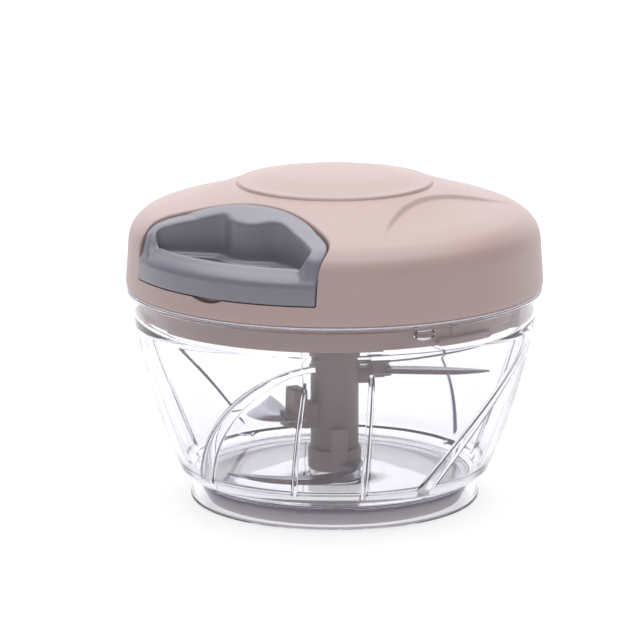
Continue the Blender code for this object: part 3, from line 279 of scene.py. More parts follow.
def turn_section(name, section, steps):
    """A section of radius and height pairs, drawn point by point and spun about the axis."""
    deselect()
    bpy.ops.mesh.primitive_plane_add(size=0.001)
    piece = bpy.context.object
    piece.name = name
    bpy.ops.object.mode_set(mode="EDIT")
    bpy.ops.mesh.merge(type="CENTER")
    bpy.ops.transform.translate(value=(section[0][0], 0.0, section[0][1]))
    for (radius, height), (next_radius, next_height) in zip(section, section[1:]):
        bpy.ops.mesh.extrude_region_move(
            TRANSFORM_OT_translate={"value": (next_radius - radius, 0.0, next_height - height)})
    bpy.ops.mesh.select_all(action="SELECT")
    bpy.ops.mesh.spin(steps=steps, angle=2 * math.pi, center=(0.0, 0.0, 0.0), axis=(0.0, 0.0, 1.0))
    return close_up(piece)


def shape_grid(name, across, along, place_point, merge=0.000002):
    """A grid whose points are placed by a rule of two shares, then closed where its edges meet."""
    deselect()
    bpy.ops.mesh.primitive_grid_add(x_subdivisions=across, y_subdivisions=along, size=2.0)
    piece = bpy.context.object
    piece.name = name
    for vertex in piece.data.vertices:
        vertex.co = place_point((vertex.co.x + 1.0) / 2.0, (vertex.co.y + 1.0) / 2.0)
    return close_up(piece, merge)


def unite(pieces):
    """Joins separate shells into one object, for a single cut or union."""
    deselect()
    for piece in pieces:
        piece.select_set(True)
    bpy.context.view_layer.objects.active = pieces[0]
    bpy.ops.object.join()
    return bpy.context.object


def carve(piece, tool, operation="DIFFERENCE"):
    """Cuts a closed tool out of a piece, or merges it in, and takes the tool away."""
    pick(piece)
    modifier = piece.modifiers.new("carve", "BOOLEAN")
    modifier.operation = operation
    modifier.solver = "EXACT"
    modifier.object = tool
    bpy.ops.object.modifier_apply(modifier=modifier.name)
    bpy.data.objects.remove(tool, do_unlink=True)
    return piece


def dress(piece, material, body, slot_name, *nodes, angle=40.0):
    """Smooth shading with sharp edges kept, the material, and the piece's place in the model."""
    pick(piece)
    bpy.ops.object.shade_smooth_by_angle(angle=math.radians(angle))
    piece.data.materials.clear()
    piece.data.materials.append(material)
    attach(piece, body)
    if nodes:
        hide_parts(*nodes)
    return piece


def bowl_outer_radius(height):
    share = clamp((height - BOWL_CORNER_Z) / (BOWL_RIM_Z - BOWL_CORNER_Z))
    cone = BOWL_CORNER_RADIUS + (BOWL_RIM_RADIUS - BOWL_CORNER_RADIUS) * share
    return cone + BOWL_BELLY * share * (1.0 - share)


def bowl_inner_radius(height):
    return bowl_outer_radius(height) - BOWL_WALL + 0.0005 * ease((height - 0.0150) / 0.0400)


pin_side = rounded([(0.0, PIN_TOP_Z), (PIN_RADIUS, PIN_TOP_Z), (PIN_RADIUS, BOWL_FLOOR_Z),
                    (0.0108, BOWL_FLOOR_Z)], 0.0009, 6)
crease = (0.0439, 0.0116)
floor_corner = rounded([(0.0200, BOWL_FLOOR_Z), (0.0418, BOWL_FLOOR_Z), crease], 0.0024, 8)
floor_corner += rounded([crease, (bowl_inner_radius(0.0127), 0.0127),
                         (bowl_inner_radius(0.0170), 0.0170)], 0.0011, 6)[1:]
inner_wall = []
for z in spread(0.0180, RIM_BAND_Z, 44):
    thinned = ease((z - 0.0552) / (RIM_BAND_Z - 0.0552))
    step_out = (RIM_BAND_RADIUS - bowl_inner_radius(RIM_BAND_Z)) * thinned
    inner_wall.append((bowl_inner_radius(z) + step_out, z))
rim = rounded([(RIM_BAND_RADIUS, 0.0600), (RIM_BAND_RADIUS, BOWL_RIM_Z),
               (BOWL_LIP_RADIUS, BOWL_RIM_Z), (BOWL_LIP_RADIUS, BOWL_RIM_Z - 0.0008),
               (bowl_outer_radius(0.0632), 0.0636)], 0.0003, 5)
outer_wall = [(bowl_outer_radius(z), z) for z in spread(0.0625, 0.0112, 34)]
foot = rounded([(bowl_outer_radius(0.0106), 0.0106), (BOWL_CORNER_RADIUS, BOWL_CORNER_Z - 0.0001),
                (FOOT_NECK_RADIUS, 0.0068), (FOOT_RADIUS - 0.0006, 0.0024), (FOOT_RADIUS, 0.0015),
                (FOOT_RADIUS - 0.0002, 0.0005), (0.0419, 0.0005), (0.0397, BOWL_UNDER_Z),
                (0.0300, BOWL_UNDER_Z)], 0.0007, 5)
under = rounded([(0.0200, BOWL_UNDER_Z), (0.0078, BOWL_UNDER_Z), (0.0074, 0.0036), (0.0066, 0.0036),
                 (0.0064, BOWL_UNDER_Z), (0.0022, BOWL_UNDER_Z), (0.0016, 0.0066), (0.0, 0.0066)],
                0.0003, 4)
whole_side = pin_side + floor_corner + inner_wall + rim + outer_wall + foot + under
bowl = turn_section("clear_bowl", whole_side, 240)


def boxed(turn, power):
    """A point of a round section at an angle, drawn out towards a square as power falls from 1."""
    return [math.copysign(abs(part) ** power, part) for part in (math.cos(turn), math.sin(turn))]


def moulded_rib(name, path, width, foot_width, proud):
    """A rib along azimuth and height pairs on the inner wall, rounded over and sunk into it."""
    last = len(path) - 1
    root = 0.0009

    def place_point(u, v):
        row = v * (last + 2) - 1
        share = clamp(row / last)
        index = clamp(round(row), 0, last)
        azimuth, height = path[index]
        before = path[max(index - 1, 0)]
        after = path[min(index + 1, last)]
        radius = bowl_inner_radius(height)
        run = math.radians(after[0] - before[0]) * radius
        climb = after[1] - before[1]
        length = math.hypot(run, climb)
        shrink = 0.0 if row < -0.5 or row > last + 0.5 else 1.0
        half = shrink * (width + (foot_width - width) * share) / 2
        stand = proud * (0.12 + 0.88 * ease(share * 9.0))
        across, out = boxed(2 * math.pi * u, 0.5)
        depth = (shrink * ((stand + root) / 2 * out + (stand - root) / 2)
                 - (1.0 - shrink) * root / 2)
        offset = half * across * (1.0 - 0.14 * (1.0 + out))
        z = height + offset * run / length
        wall = bowl_inner_radius(z)
        return polar(wall - depth, azimuth - math.degrees(offset * climb / length / wall), z)

    return shape_grid(name, 20, last + 2, place_point)


def down(top, share):
    """Height at a share of the way from a rib's top to its foot."""
    return top + (RIB_FOOT_Z - top) * share


ribs = []
for quarter in range(4):
    start = 90.0 * quarter
    swirl = []
    for share in spread(0.0, 1.0, 46):
        drop = share ** 1.35
        swirl.append((start + SWIRL_AZIMUTH - SWIRL_SWEEP * drop ** 0.62, down(SWIRL_TOP_Z, drop)))
    stay = [(start + STAY_AZIMUTH - STAY_LEAN * share, down(STAY_TOP_Z, share))
            for share in spread(0.0, 1.0, 30)]
    post = [(start + POST_AZIMUTH, down(POST_TOP_Z, share)) for share in spread(0.0, 1.0, 30)]
    ribs += [moulded_rib("swirl_rib", swirl, 0.0026, 0.0068, 0.0013),
             moulded_rib("stay_rib", stay, 0.0014, 0.0022, 0.0012),
             moulded_rib("post_rib", post, 0.0021, 0.0025, 0.0014)]
for third in range(3):
    deselect()
    bpy.ops.mesh.primitive_uv_sphere_add(segments=32, ring_count=16, radius=1.0)
    lug = bpy.context.object
    turn = math.radians(LUG_AZIMUTH + 120.0 * third)
    for vertex in lug.data.vertices:
        x, y, z = vertex.co
        sideways = LUG_HALF_LENGTH * math.copysign(abs(x) ** 0.8, x)
        out = RIM_BAND_RADIUS + 0.0001 - LUG_STAND * y
        vertex.co = (out * math.sin(turn) + sideways * math.cos(turn),
                     -out * math.cos(turn) + sideways * math.sin(turn), LUG_Z + LUG_STAND * z)
    ribs.append(close_up(lug))
carve(bowl, unite(ribs), "UNION")

# Polycarbonate from a polished mould: clear and glassy, with faint flow marks about 22 mm apart and
# a haze of 5 mm spots in its gloss. Thick places turn a little violet.
clear, tree, shader, place = new_material("clear_polycarbonate_moulded")
flow = add_node(tree, "ShaderNodeTexNoise", {"Scale": 45.0, "Detail": 1.0}, {"Vector": place})
ripple = add_node(tree, "ShaderNodeBump", {"Strength": 0.10, "Distance": 0.0004},
                  {"Height": flow.outputs["Fac"]})
haze = add_node(tree, "ShaderNodeTexNoise", {"Scale": 220.0, "Detail": 4.0}, {"Vector": place})
polish = add_node(tree, "ShaderNodeMapRange", {"To Min": 0.012, "To Max": 0.035},
                  {"Value": haze.outputs["Fac"]})
finish(shader, {"Normal": ripple.outputs["Normal"], "Roughness": polish.outputs["Result"],
                "Base Color": (0.985, 0.985, 1.0, 1.0), "IOR": 1.57, "Transmission Weight": 1.0})
tint = add_node(tree, "ShaderNodeVolumeAbsorption",
                {"Color": (0.76, 0.75, 0.91, 1.0), "Density": 30.0})
tree.links.new(tint.outputs["Volume"], tree.nodes["Material Output"].inputs["Volume"])
dress(bowl, clear, "bowl", "clear_bowl", "bowl", angle=30.0)

# Anti-slip ring: a soft grey silicone ring pressed up into the foot. It shows through the clear
# moulding as the grey band round the base, and it is what the chopper stands on.
foot_ring = turn_section("foot_ring", rounded(
    [(0.0360, 0.0057), (0.0391, 0.0057), (0.0393, 0.0044), (0.0379, 0.0014), (0.0374, 0.0000),
     (0.0362, 0.0000), (0.0356, 0.0008), (0.0340, 0.0008), (0.0334, 0.0000), (0.0320, 0.0000),
     (0.0320, 0.0057), (0.0360, 0.0057)], 0.0004, 4), 180)


def two_tones(first, second):
    """Settings of a mix between two colours."""
    return {"data_type": "RGBA", 6: hex_colour(first), 7: hex_colour(second)}


def grained(name, dark, light, scale, detail, strength, roughness, sheen):
    """A soft, matt surface: its grain shows in the colour and as bump, with a little sheen."""
    material, tree, shader, place = new_material(name)
    grain = add_node(tree, "ShaderNodeTexNoise", {"Scale": scale, "Detail": detail},
                     {"Vector": place})
    tone = add_node(tree, "ShaderNodeMix", two_tones(dark, light), {0: grain.outputs["Fac"]})
    skin = add_node(tree, "ShaderNodeBump", {"Strength": strength, "Distance": 0.00008},
                    {"Height": grain.outputs["Fac"]})
    finish(shader, {"Base Color": tone.outputs[2], "Normal": skin.outputs["Normal"],
                    "Roughness": roughness, "Sheen Weight": sheen})
    return material


# Silicone, moulded: soft and dull. Its dust is drawn 2.4 mm coarse, because the real grain of a
# tenth of that would not show.
silicone = grained("grey_silicone_moulded", "C6BFC2", "D0C9CC", 420.0, 4.0, 0.2, 0.55, 0.15)
dress(foot_ring, silicone, "bowl", "foot_ring", "anti_slip_ring")

# Rotor: a column and two blade arms in brown ABS, with the drive socket in its top. It stands on
# the bowl's pin. A separate collar with a key is clipped round its lower end.
COLUMN_RADIUS = 0.0073
COLLAR_RADIUS = 0.0077
COLLAR_Z = 0.0399
COLUMN_TOP_Z = 0.0462
SOCKET_RADIUS = 0.0049
SOCKET_FLOOR_Z = 0.0404
FOOT_COLLAR_RADIUS = 0.0081
FOOT_COLLAR_TOP_Z = 0.0150
UPPER_BLADE_Z = 0.0383
UPPER_ARM_AZIMUTH = 136.0
MIDDLE_BLADE_Z = 0.0256
MIDDLE_ARM_AZIMUTH = -28.0
LOWER_BLADE_Z = 0.0114


def soften(piece, width):
    """Rounds the edges of a simple piece over."""
    bevel = piece.modifiers.new("rounded_edges", "BEVEL")
    bevel.width = width
    bevel.segments = 4
    bpy.ops.object.modifier_apply(modifier=bevel.name)
    return close_up(piece)


def soft_block(name, near, far, width, low, high, azimuth, edge, taper=0.0):
    """A moulded block from one radius to another, its edges rounded and its top drawn in."""
    deselect()
    bpy.ops.mesh.primitive_cube_add(size=1.0, location=(0.0, -(near + far) / 2, (low + high) / 2),
                                    scale=(width, far - near, high - low))
    piece = bpy.context.object
    piece.name = name
    bpy.ops.object.transform_apply(location=True, rotation=False, scale=True)
    middle = -(near + far) / 2
    turn = math.radians(azimuth)
    for vertex in piece.data.vertices:
        x, y, z = vertex.co
        if z > (low + high) / 2:
            x *= 1.0 - taper
            y = middle + (y - middle) * (1.0 - taper)
        vertex.co = (x * math.cos(turn) - y * math.sin(turn),
                     x * math.sin(turn) + y * math.cos(turn), z)
    return soften(piece, edge)


def flattened(turn, gain):
    """A point of a circle drawn gain times as large and cut flat at 1: a block with cut corners."""
    return [math.copysign(min(1.0, gain * abs(part)), part)
            for part in (math.cos(turn), math.sin(turn))]


def teeth(name, inner, outer, low, high, first, half_angle):
    """Three drive teeth or dogs a third of a turn apart."""
    found = []
    for third in range(3):
        middle = first + 120.0 * third

        def place_point(u, v):
            side, out = flattened(2 * math.pi * u, 1.35)
            level = clamp((v * 6 - 1) / 4)
            shrink = 0.0 if v < 0.08 or v > 0.92 else 1.0
            radius = (inner + outer) / 2 + shrink * out * (outer - inner) / 2
            return polar(radius, middle + shrink * side * half_angle, low + (high - low) * level)

        found.append(shape_grid(name, 32, 6, place_point))
    return unite(found)


column = turn_section("column_moulding", rounded(
    [(0.0, SOCKET_FLOOR_Z), (SOCKET_RADIUS, SOCKET_FLOOR_Z),
     (SOCKET_RADIUS, COLUMN_TOP_Z - 0.0004), (SOCKET_RADIUS + 0.0004, COLUMN_TOP_Z),
     (COLLAR_RADIUS, COLUMN_TOP_Z), (COLLAR_RADIUS, COLLAR_Z),
     (COLUMN_RADIUS, COLLAR_Z - 0.0004), (COLUMN_RADIUS, 0.0153), (0.0060, 0.0153),
     (0.0060, 0.0089), (0.0032, 0.0089), (0.0032, 0.0351), (0.0, 0.0351)], 0.0003, 4), 160)
for blade_z, azimuth, arm_span, head_span, nose_span, taper in (
        (UPPER_BLADE_Z, UPPER_ARM_AZIMUTH, (-0.0036, 0.0012), (-0.0017, 0.0035),
         (-0.00153, 0.0016), 0.06),
        (MIDDLE_BLADE_Z, MIDDLE_ARM_AZIMUTH, (-0.0038, 0.0040), (-0.0032, 0.0088),
         (-0.0029, 0.0016), 0.08)):
    for name, near, far, width, (low, high), edge, drawn_in in (
            ("arm", 0.0060, 0.0112, 0.0052, arm_span, 0.0005, 0.0),
            ("head", 0.0104, 0.0150, 0.0078, head_span, 0.0006, taper),
            ("nose", 0.0142, 0.0170, 0.0060, nose_span, 0.0004, 0.0)):
        carve(column, soft_block(name, near, far, width, blade_z + low, blade_z + high, azimuth,
                                 edge, drawn_in), "UNION")
carve(column, teeth("socket_tooth", SOCKET_RADIUS - 0.0014, SOCKET_RADIUS + 0.0008,
                    SOCKET_FLOOR_Z - 0.0003, COLUMN_TOP_Z - 0.0006, 60.0, 14.0), "UNION")


def moulded_abs(name, light, dark, roughness, grain):
    """Moulded ABS: fine spark texture as bump, faint clouds in its colour, rubbed spots."""
    material, tree, shader, place = new_material(name)
    cloud = add_node(tree, "ShaderNodeTexNoise", {"Scale": 55.0, "Detail": 3.0, "Roughness": 0.6},
                     {"Vector": place})
    tone = add_node(tree, "ShaderNodeMix", two_tones(dark, light), {0: cloud.outputs["Fac"]})
    spark = add_node(tree, "ShaderNodeTexNoise", {"Scale": 1.0 / grain, "Detail": 4.0},
                     {"Vector": place})
    skin = add_node(tree, "ShaderNodeBump", {"Strength": 0.22, "Distance": 0.00004},
                    {"Height": spark.outputs["Fac"]})
    rub = add_node(tree, "ShaderNodeMapRange",
                   {"To Min": roughness - 0.05, "To Max": roughness + 0.06},
                   {"Value": cloud.outputs["Fac"]})
    finish(shader, {"Base Color": tone.outputs[2], "Normal": skin.outputs["Normal"],
                    "Roughness": rub.outputs["Result"], "IOR": 1.53})
    return material


# Brown ABS with a spark grain of 0.22 mm: a soft gloss without clear reflections. Its clouds, here
# and in the other ABS, are 18 mm wide.
brown_abs = moulded_abs("brown_abs_moulded", "8B7472", "806A67", 0.42, 0.00022)
dress(column, brown_abs, "rotor", "rotor_plastic", "rotor_column")

rotor_foot = turn_section("foot_collar", rounded(
    [(0.0070, 0.0089), (FOOT_COLLAR_RADIUS, 0.0089), (FOOT_COLLAR_RADIUS, FOOT_COLLAR_TOP_Z),
     (0.0063, FOOT_COLLAR_TOP_Z), (0.0063, 0.0089), (0.0070, 0.0089)], 0.0004, 4), 160)
foot_key = soft_block("foot_key", 0.0076, 0.0094, 0.0050, 0.0130, 0.0222, 46.0, 0.0004)
carve(rotor_foot, foot_key, "UNION")
# The same ABS, painted lighter than the column where light falls brighter on the collar; this sets
# it off.
brown_painted_lighter = moulded_abs("brown_abs_painted_lighter", "A08986", "947D7B", 0.42, 0.00022)
dress(rotor_foot, brown_painted_lighter, "rotor", "rotor_plastic", "rotor_foot")

# Blades: three sickles stamped from stainless steel sheet, ground to an edge on the side that
# leads, their tangs moulded into the arms and the foot.
BLADE_THICKNESS = 0.0010
BLADE_STEPS = 40


def spline(points, per):
    """A smooth line through points, with per steps between each pair."""
    out = []
    for index in range(len(points) - 1):
        a = Vector(points[max(index - 1, 0)])
        b = Vector(points[index])
        c = Vector(points[index + 1])
        d = Vector(points[min(index + 2, len(points) - 1)])
        for step in range(per):
            t = step / per
            out.append(tuple(0.5 * (2 * b + (c - a) * t + (2 * a - 5 * b + 4 * c - d) * t ** 2
                                    + (3 * b - a - 3 * c + d) * t ** 3)))
    return out + [tuple(points[-1])]


def resample(points, count):
    """Evenly spaced points along an open line."""
    lengths = [0.0]
    for first, second in zip(points, points[1:]):
        lengths.append(lengths[-1] + math.dist(first, second))
    out = []
    spot = 0
    for goal in spread(0.0, lengths[-1], count):
        while spot < len(points) - 2 and lengths[spot + 1] < goal:
            spot += 1
        share = (goal - lengths[spot]) / max(lengths[spot + 1] - lengths[spot], 0.0000001)
        first, second = points[spot], points[spot + 1]
        out.append(tuple(a + (b - a) * min(share, 1.0) for a, b in zip(first, second)))
    return out


def sickle(name, edge, back, height):
    """A blade between its ground edge and its back, both drawn through radius and azimuth pairs."""
    half_thick = BLADE_THICKNESS / 2
    edge_line, back_line = [
        resample(spline([tuple(polar(radius, azimuth, height)) for radius, azimuth in line], 8),
                 BLADE_STEPS + 1) for line in (edge, back)]
    section = ((-1.0, -1.0), (-1.0, 0.6), (-0.94, 1.0), (-0.3, 1.0), (0.25, 1.0), (0.36, 0.97),
               (0.6, 0.42), (0.85, -0.25), (1.0, -0.72), (1.0, -1.0), (0.4, -1.0), (-0.3, -1.0))

    def place_point(u, v):
        row = v * (BLADE_STEPS + 2) - 1
        index = clamp(round(row), 0, BLADE_STEPS)
        behind, ahead = Vector(back_line[index]), Vector(edge_line[index])
        if row < -0.5 or row > BLADE_STEPS + 0.5:
            return (behind + ahead) / 2
        across, level = section[round(u * len(section)) % len(section)]
        spot = behind.lerp(ahead, (across + 1.0) / 2)
        thinned = 1.0 - 0.5 * (index / BLADE_STEPS) ** 8
        return spot + Vector((0.0, 0.0, level * half_thick * thinned))

    blade = shape_grid(name, len(section), BLADE_STEPS + 2, place_point)
    ground = blade.data.attributes.new("ground_edge", "FLOAT", "POINT")
    for index, vertex in enumerate(blade.data.vertices):
        near_back = min((vertex.co - Vector(spot)).length for spot in back_line)
        near_edge = min((vertex.co - Vector(spot)).length for spot in edge_line)
        ground.data[index].value = 1.0 if near_edge < 0.45 * (near_back + near_edge) else 0.0
    return blade


# Stainless steel, brushed along its sheet and ground at the edge: streaks 1.1 mm long and 0.2 mm
# wide, dull on the flat and brighter where it is ground.
ground_steel, tree, shader, place = new_material("ground_stainless_steel")
stretch = add_node(tree, "ShaderNodeMapping", {"Scale": (900.0, 5200.0, 900.0)},
                   {"Vector": place})
lines = add_node(tree, "ShaderNodeTexNoise", {"Scale": 1.0, "Detail": 3.0},
                 {"Vector": stretch.outputs["Vector"]})
brushed = add_node(tree, "ShaderNodeBump", {"Strength": 0.25, "Distance": 0.00002},
                   {"Height": lines.outputs["Fac"]})
edge = add_node(tree, "ShaderNodeAttribute", {"attribute_name": "ground_edge"})
gloss = add_node(tree, "ShaderNodeMapRange", {"To Min": 0.36, "To Max": 0.18},
                 {"Value": edge.outputs["Fac"]})
tone = add_node(tree, "ShaderNodeMix", two_tones("8E8F9B", "A9AAB6"), {0: lines.outputs["Fac"]})
finish(shader, {"Normal": brushed.outputs["Normal"], "Roughness": gloss.outputs["Result"],
                "Base Color": tone.outputs[2], "Metallic": 1.0})
upper_edge = [(0.0112, 116.0), (0.0170, 121.0), (0.0260, 121.0), (0.0370, 121.5), (0.0471, 125.5)]
upper_back = [(0.0112, 152.0), (0.0170, 146.0), (0.0260, 138.0), (0.0370, 130.5), (0.0470, 126.2)]
middle_edge = [(0.0112, -8.0), (0.0180, -16.0), (0.0240, -30.0), (0.0268, -48.5),
               (0.0249, -70.0), (0.0271, -95.6)]
middle_back = [(0.0112, -46.0), (0.0135, -52.0), (0.0150, -62.0), (0.0168, -74.0),
               (0.0198, -84.0), (0.0272, -96.6)]
lower_edge = [(0.0070, 46.0), (0.0140, 62.0), (0.0220, 52.0), (0.0290, 28.0), (0.0330, 2.0),
              (0.0365, -23.6)]
lower_back = [(0.0070, 118.0), (0.0100, 96.0), (0.0135, 66.0), (0.0190, 32.0), (0.0260, 4.0),
              (0.0364, -24.6)]
for name, edge_points, back_points, blade_z, node_name in (
        ("upper_sickle", upper_edge, upper_back, UPPER_BLADE_Z, "blade_upper"),
        ("middle_sickle", middle_edge, middle_back, MIDDLE_BLADE_Z, "blade_middle"),
        ("lower_sickle", lower_edge, lower_back, LOWER_BLADE_Z, "blade_lower")):
    dress(sickle(name, edge_points, back_points, blade_z), ground_steel, "rotor", "blade_steel",
          node_name, angle=25.0)

# Lid cover: the taupe outer shell, moulded in ABS with a low round cap on its crown, a pressed
# grip panel on each side, a pocket for the handle and a nail notch in the lip below it.
LID_RADIUS = 0.0625
LID_HEIGHT = 0.1000
LID_EDGE_Z = 0.0658
CAP_RADIUS = 0.0295
SKIN_DEPTH = 0.0008
POCKET_FLOOR_Z = 0.0716
POCKET_GAP = 0.0004
POCKET_FRONT_RADIUS = 0.0685
POCKET_MIDDLE = (0.0, -0.0500)
TUB_WALL = 0.0020
TUB_FRONT_RADIUS = 0.0617
TUB_FLOOR_Z = 0.0700
NOTCH_RADIUS = 0.0120
HANDLE_HALF_WIDTH = 0.0322
HANDLE_BACK = 0.0353
HANDLE_ARC = 0.0540
HANDLE_CORNER = 0.0060
CORD_Z = 0.07845
PANEL_CENTRE = 0.0970
PANEL_RADIUS = 0.0640
PANEL_DEPTH = 0.0010
cap = spline([(0.0, LID_HEIGHT), (0.0060, 0.09994), (0.0120, 0.0997), (0.0180, 0.0992),
              (0.0230, 0.0981), (0.0256, 0.0975), (0.0275, 0.09725), (0.0289, 0.0971),
              (CAP_RADIUS, 0.0962)], 5)
dome = spline([(0.0300, 0.0960), (0.0325, 0.0955), (0.0400, 0.0933), (0.0450, 0.0918),
               (0.0507, 0.0902), (0.0540, 0.0890), (0.0568, 0.0877), (0.0588, 0.0861),
               (0.0602, 0.0845), (0.0611, 0.0827), (0.0616, 0.0808), (0.0618, 0.0790),
               (0.0619, 0.0770)], 7)
crown = cap + dome


def height_on(line, radius):
    """Height of a line of radius and height pairs at a radius."""
    for (first, high), (second, low) in zip(line, line[1:]):
        if radius <= second:
            return high + (low - high) * (radius - first) / max(second - first, 0.000001)
    return line[-1][1]


def crown_height(radius):
    """Height of the crown's outside at a radius."""
    return height_on(crown, min(radius, 0.0622))


side = rounded([(0.0621, 0.0740), (LID_RADIUS, 0.0690), (LID_RADIUS + 0.0001, 0.0671),
                (LID_RADIUS - 0.0002, LID_EDGE_Z), (0.0612, LID_EDGE_Z), (0.0610, 0.0692),
                (0.0605, 0.0698)], 0.0006, 5)
inside = [(0.0603, 0.0740), (0.0602, 0.0770), (0.0594, 0.0806), (0.0579, 0.0835), (0.0553, 0.0856),
          (0.0520, 0.0872), (0.0460, 0.0892), (0.0380, 0.0918), (0.0300, 0.0939), (0.0200, 0.0962),
          (0.0100, 0.0976), (0.0, 0.0980)]
cover = turn_section("lid_cover_shell", crown + side + inside, 288)


def panel_press(x, y):
    """How far the grip panels are pressed in at a point: a soft step inside an arc, fading out."""
    step = ease((PANEL_RADIUS + 0.0008 - math.hypot(abs(x) - PANEL_CENTRE, y)) / 0.0016)
    outwards = ease((0.0580 - math.hypot(x, y)) / 0.0200)
    return PANEL_DEPTH * step * outwards * (1.0 - ease((abs(y) - 0.0250) / 0.0230))


pick(cover)
bpy.ops.object.mode_set(mode="EDIT")
bpy.ops.mesh.select_all(action="DESELECT")
bpy.ops.object.mode_set(mode="OBJECT")
for face in cover.data.polygons:
    x, y, z = face.center
    radius = math.hypot(x, y)
    near_step = abs(math.hypot(abs(x) - PANEL_CENTRE, y) - PANEL_RADIUS) < 0.0018
    face.select = near_step and radius < 0.0585 and z > crown_height(radius) - SKIN_DEPTH
bpy.ops.object.mode_set(mode="EDIT")
bpy.ops.mesh.select_mode(type="FACE")
bpy.ops.mesh.subdivide(number_cuts=2)
bpy.ops.mesh.select_mode(type="VERT")
bpy.ops.object.mode_set(mode="OBJECT")
for vertex in cover.data.vertices:
    x, y, z = vertex.co
    top = crown_height(math.hypot(x, y))
    if z > top - SKIN_DEPTH and math.hypot(x, y) < 0.0600:
        vertex.co.z = top - panel_press(x, y)


def both_sides(right_back, right_front):
    """A closed plan from its right half: back and side first, then the front to the middle."""
    right = right_back + right_front[1:]
    left = [(-x, y) for x, y in reversed(right[1:-1])]
    return [(x, -y) for x, y in right + left]


def front_arc(radius, half):
    """The curve across the front, from half its width out to the middle."""
    end = math.asin(half / radius)
    return [(radius * math.sin(angle), radius * math.cos(angle))
            for angle in spread(end, 0.0, 40)]


def handle_plan(grow, front):
    """Plan of the handle: an arc behind, round corners, straight sides and the lid's curve."""
    half = HANDLE_HALF_WIDTH + grow
    centre = HANDLE_BACK + HANDLE_ARC
    radius = HANDLE_ARC + grow
    corner = HANDLE_CORNER + grow
    reach = half - corner
    turn = math.asin(reach / (radius - corner))
    points = [(radius * math.sin(angle), centre - radius * math.cos(angle))
              for angle in spread(0.0, turn, 40)]
    corner_y = centre - (radius - corner) * math.cos(turn)
    points += [(reach + corner * math.sin(angle), corner_y - corner * math.cos(angle))
               for angle in spread(turn, math.pi / 2, 16)[1:]]
    face = front_arc(front, half)
    points.append((half, face[0][1]))
    return both_sides(resample(points, 90), resample(face, 60))


def lay_rings(name, rings, middle):
    """A closed solid through rings of plan points, each ring (plan, rule for its height)."""
    count = len(rings[0][0])

    def place_point(u, v):
        row = round(v * (len(rings) + 1)) - 1
        plan, height = rings[clamp(row, 0, len(rings) - 1)]
        x, y = middle if row in (-1, len(rings)) else plan[round(u * count) % count]
        return Vector((x, y, height(x, y)))

    return shape_grid(name, count, len(rings) + 1, place_point)


def level(height):
    return lambda x, y: height


def below_crown(drop):
    return lambda x, y: crown_height(math.hypot(x, y)) - drop


def round_bar(vertices, radius, length, spot, forward=False):
    """A round bar to cut a hole with, upright or pointing forward."""
    deselect()
    tilt = math.pi / 2 if forward else 0.0
    bpy.ops.mesh.primitive_cylinder_add(vertices=vertices, radius=radius, depth=length,
                                        location=spot, rotation=(tilt, 0.0, 0.0))
    return close_up(bpy.context.object)


def pocket_plan(grow):
    return handle_plan(grow, POCKET_FRONT_RADIUS)


tub_plan = handle_plan(TUB_WALL, TUB_FRONT_RADIUS)
tub = lay_rings("pocket_tub", [(tub_plan, level(TUB_FLOOR_Z)), (tub_plan, below_crown(0.0009))],
                POCKET_MIDDLE)
carve(cover, tub, "UNION")
pocket_rings = [(pocket_plan(-0.0002), level(POCKET_FLOOR_Z)),
                (pocket_plan(0.0003), level(POCKET_FLOOR_Z + 0.0002)),
                (pocket_plan(POCKET_GAP), level(POCKET_FLOOR_Z + 0.0006))]
for grow, drop in ((0.0, 0.0009), (0.00003, 0.0006), (0.00012, 0.00033), (0.00028, 0.00013),
                   (0.0005, 0.00002), (0.0008, -0.0002), (0.0014, -0.0016)):
    pocket_rings.append((pocket_plan(POCKET_GAP + grow), below_crown(drop)))
pocket_rings.append((pocket_plan(POCKET_GAP + 0.0014), level(LID_HEIGHT + 0.0030)))
carve(cover, lay_rings("handle_pocket", pocket_rings, POCKET_MIDDLE))
carve(cover, round_bar(64, 0.0031, 0.0100, (0.0, -0.0333, CORD_Z), forward=True))
notch_spot = (0.0, -0.0645, POCKET_FLOOR_Z - 0.0013 + NOTCH_RADIUS)
carve(cover, soften(round_bar(160, NOTCH_RADIUS, 0.0080, notch_spot, forward=True), 0.0008))
# Taupe ABS with a spark grain of 0.26 mm: dull enough to show the form by its shading alone.
taupe_abs = moulded_abs("taupe_abs_spark_textured", "B29C96", "AC9690", 0.40, 0.00026)
dress(cover, taupe_abs, "lid", "lid_shell", "lid_cover", angle=38.0)

# Pull handle: a blue grey ABS ring that lies in the pocket flush with the lid. Its rim is rounded
# for the fingers, its well has a ledge round the floor, and a boss at its back holds the cord.
HANDLE_BOTTOM_Z = 0.0719
HANDLE_FACE_RADIUS = 0.0623
GRIP_FRONT_RADIUS = 0.0573
GRIP_FRONT_HALF = 0.0251
GRIP_HALF_WIDTH = 0.0283
KNOT_SPOT = 0.0433
KNOT_ROOM = 0.00185
CORD_HOLE = 0.00105
handle_crown = spline([(0.0330, 0.0953), (0.0375, 0.0943), (0.0455, 0.0914), (0.0500, 0.0888),
                       (0.0540, 0.0855), (0.0575, 0.0823), (0.0600, 0.0802), (0.0626, 0.0783)], 8)


def handle_top(x, y):
    """Height of the handle's rim: flush with the lid behind and beside, lower in front."""
    radius = clamp(math.hypot(x, y), 0.0331, 0.0625)
    bar = height_on(handle_crown, radius)
    lowered = ease((0.83 * (0.0281 - abs(x)) + 0.55 * (-y - 0.0498)) / 0.0036)
    lowered *= ease((-y - 0.0478) / 0.0030)
    lowered = max(lowered, ease((radius - 0.0590) / 0.0030))
    return bar + (max(crown_height(radius) - 0.0007, bar) - bar) * (1.0 - lowered)


def rim_drop(drop):
    return lambda x, y: handle_top(x, y) - drop


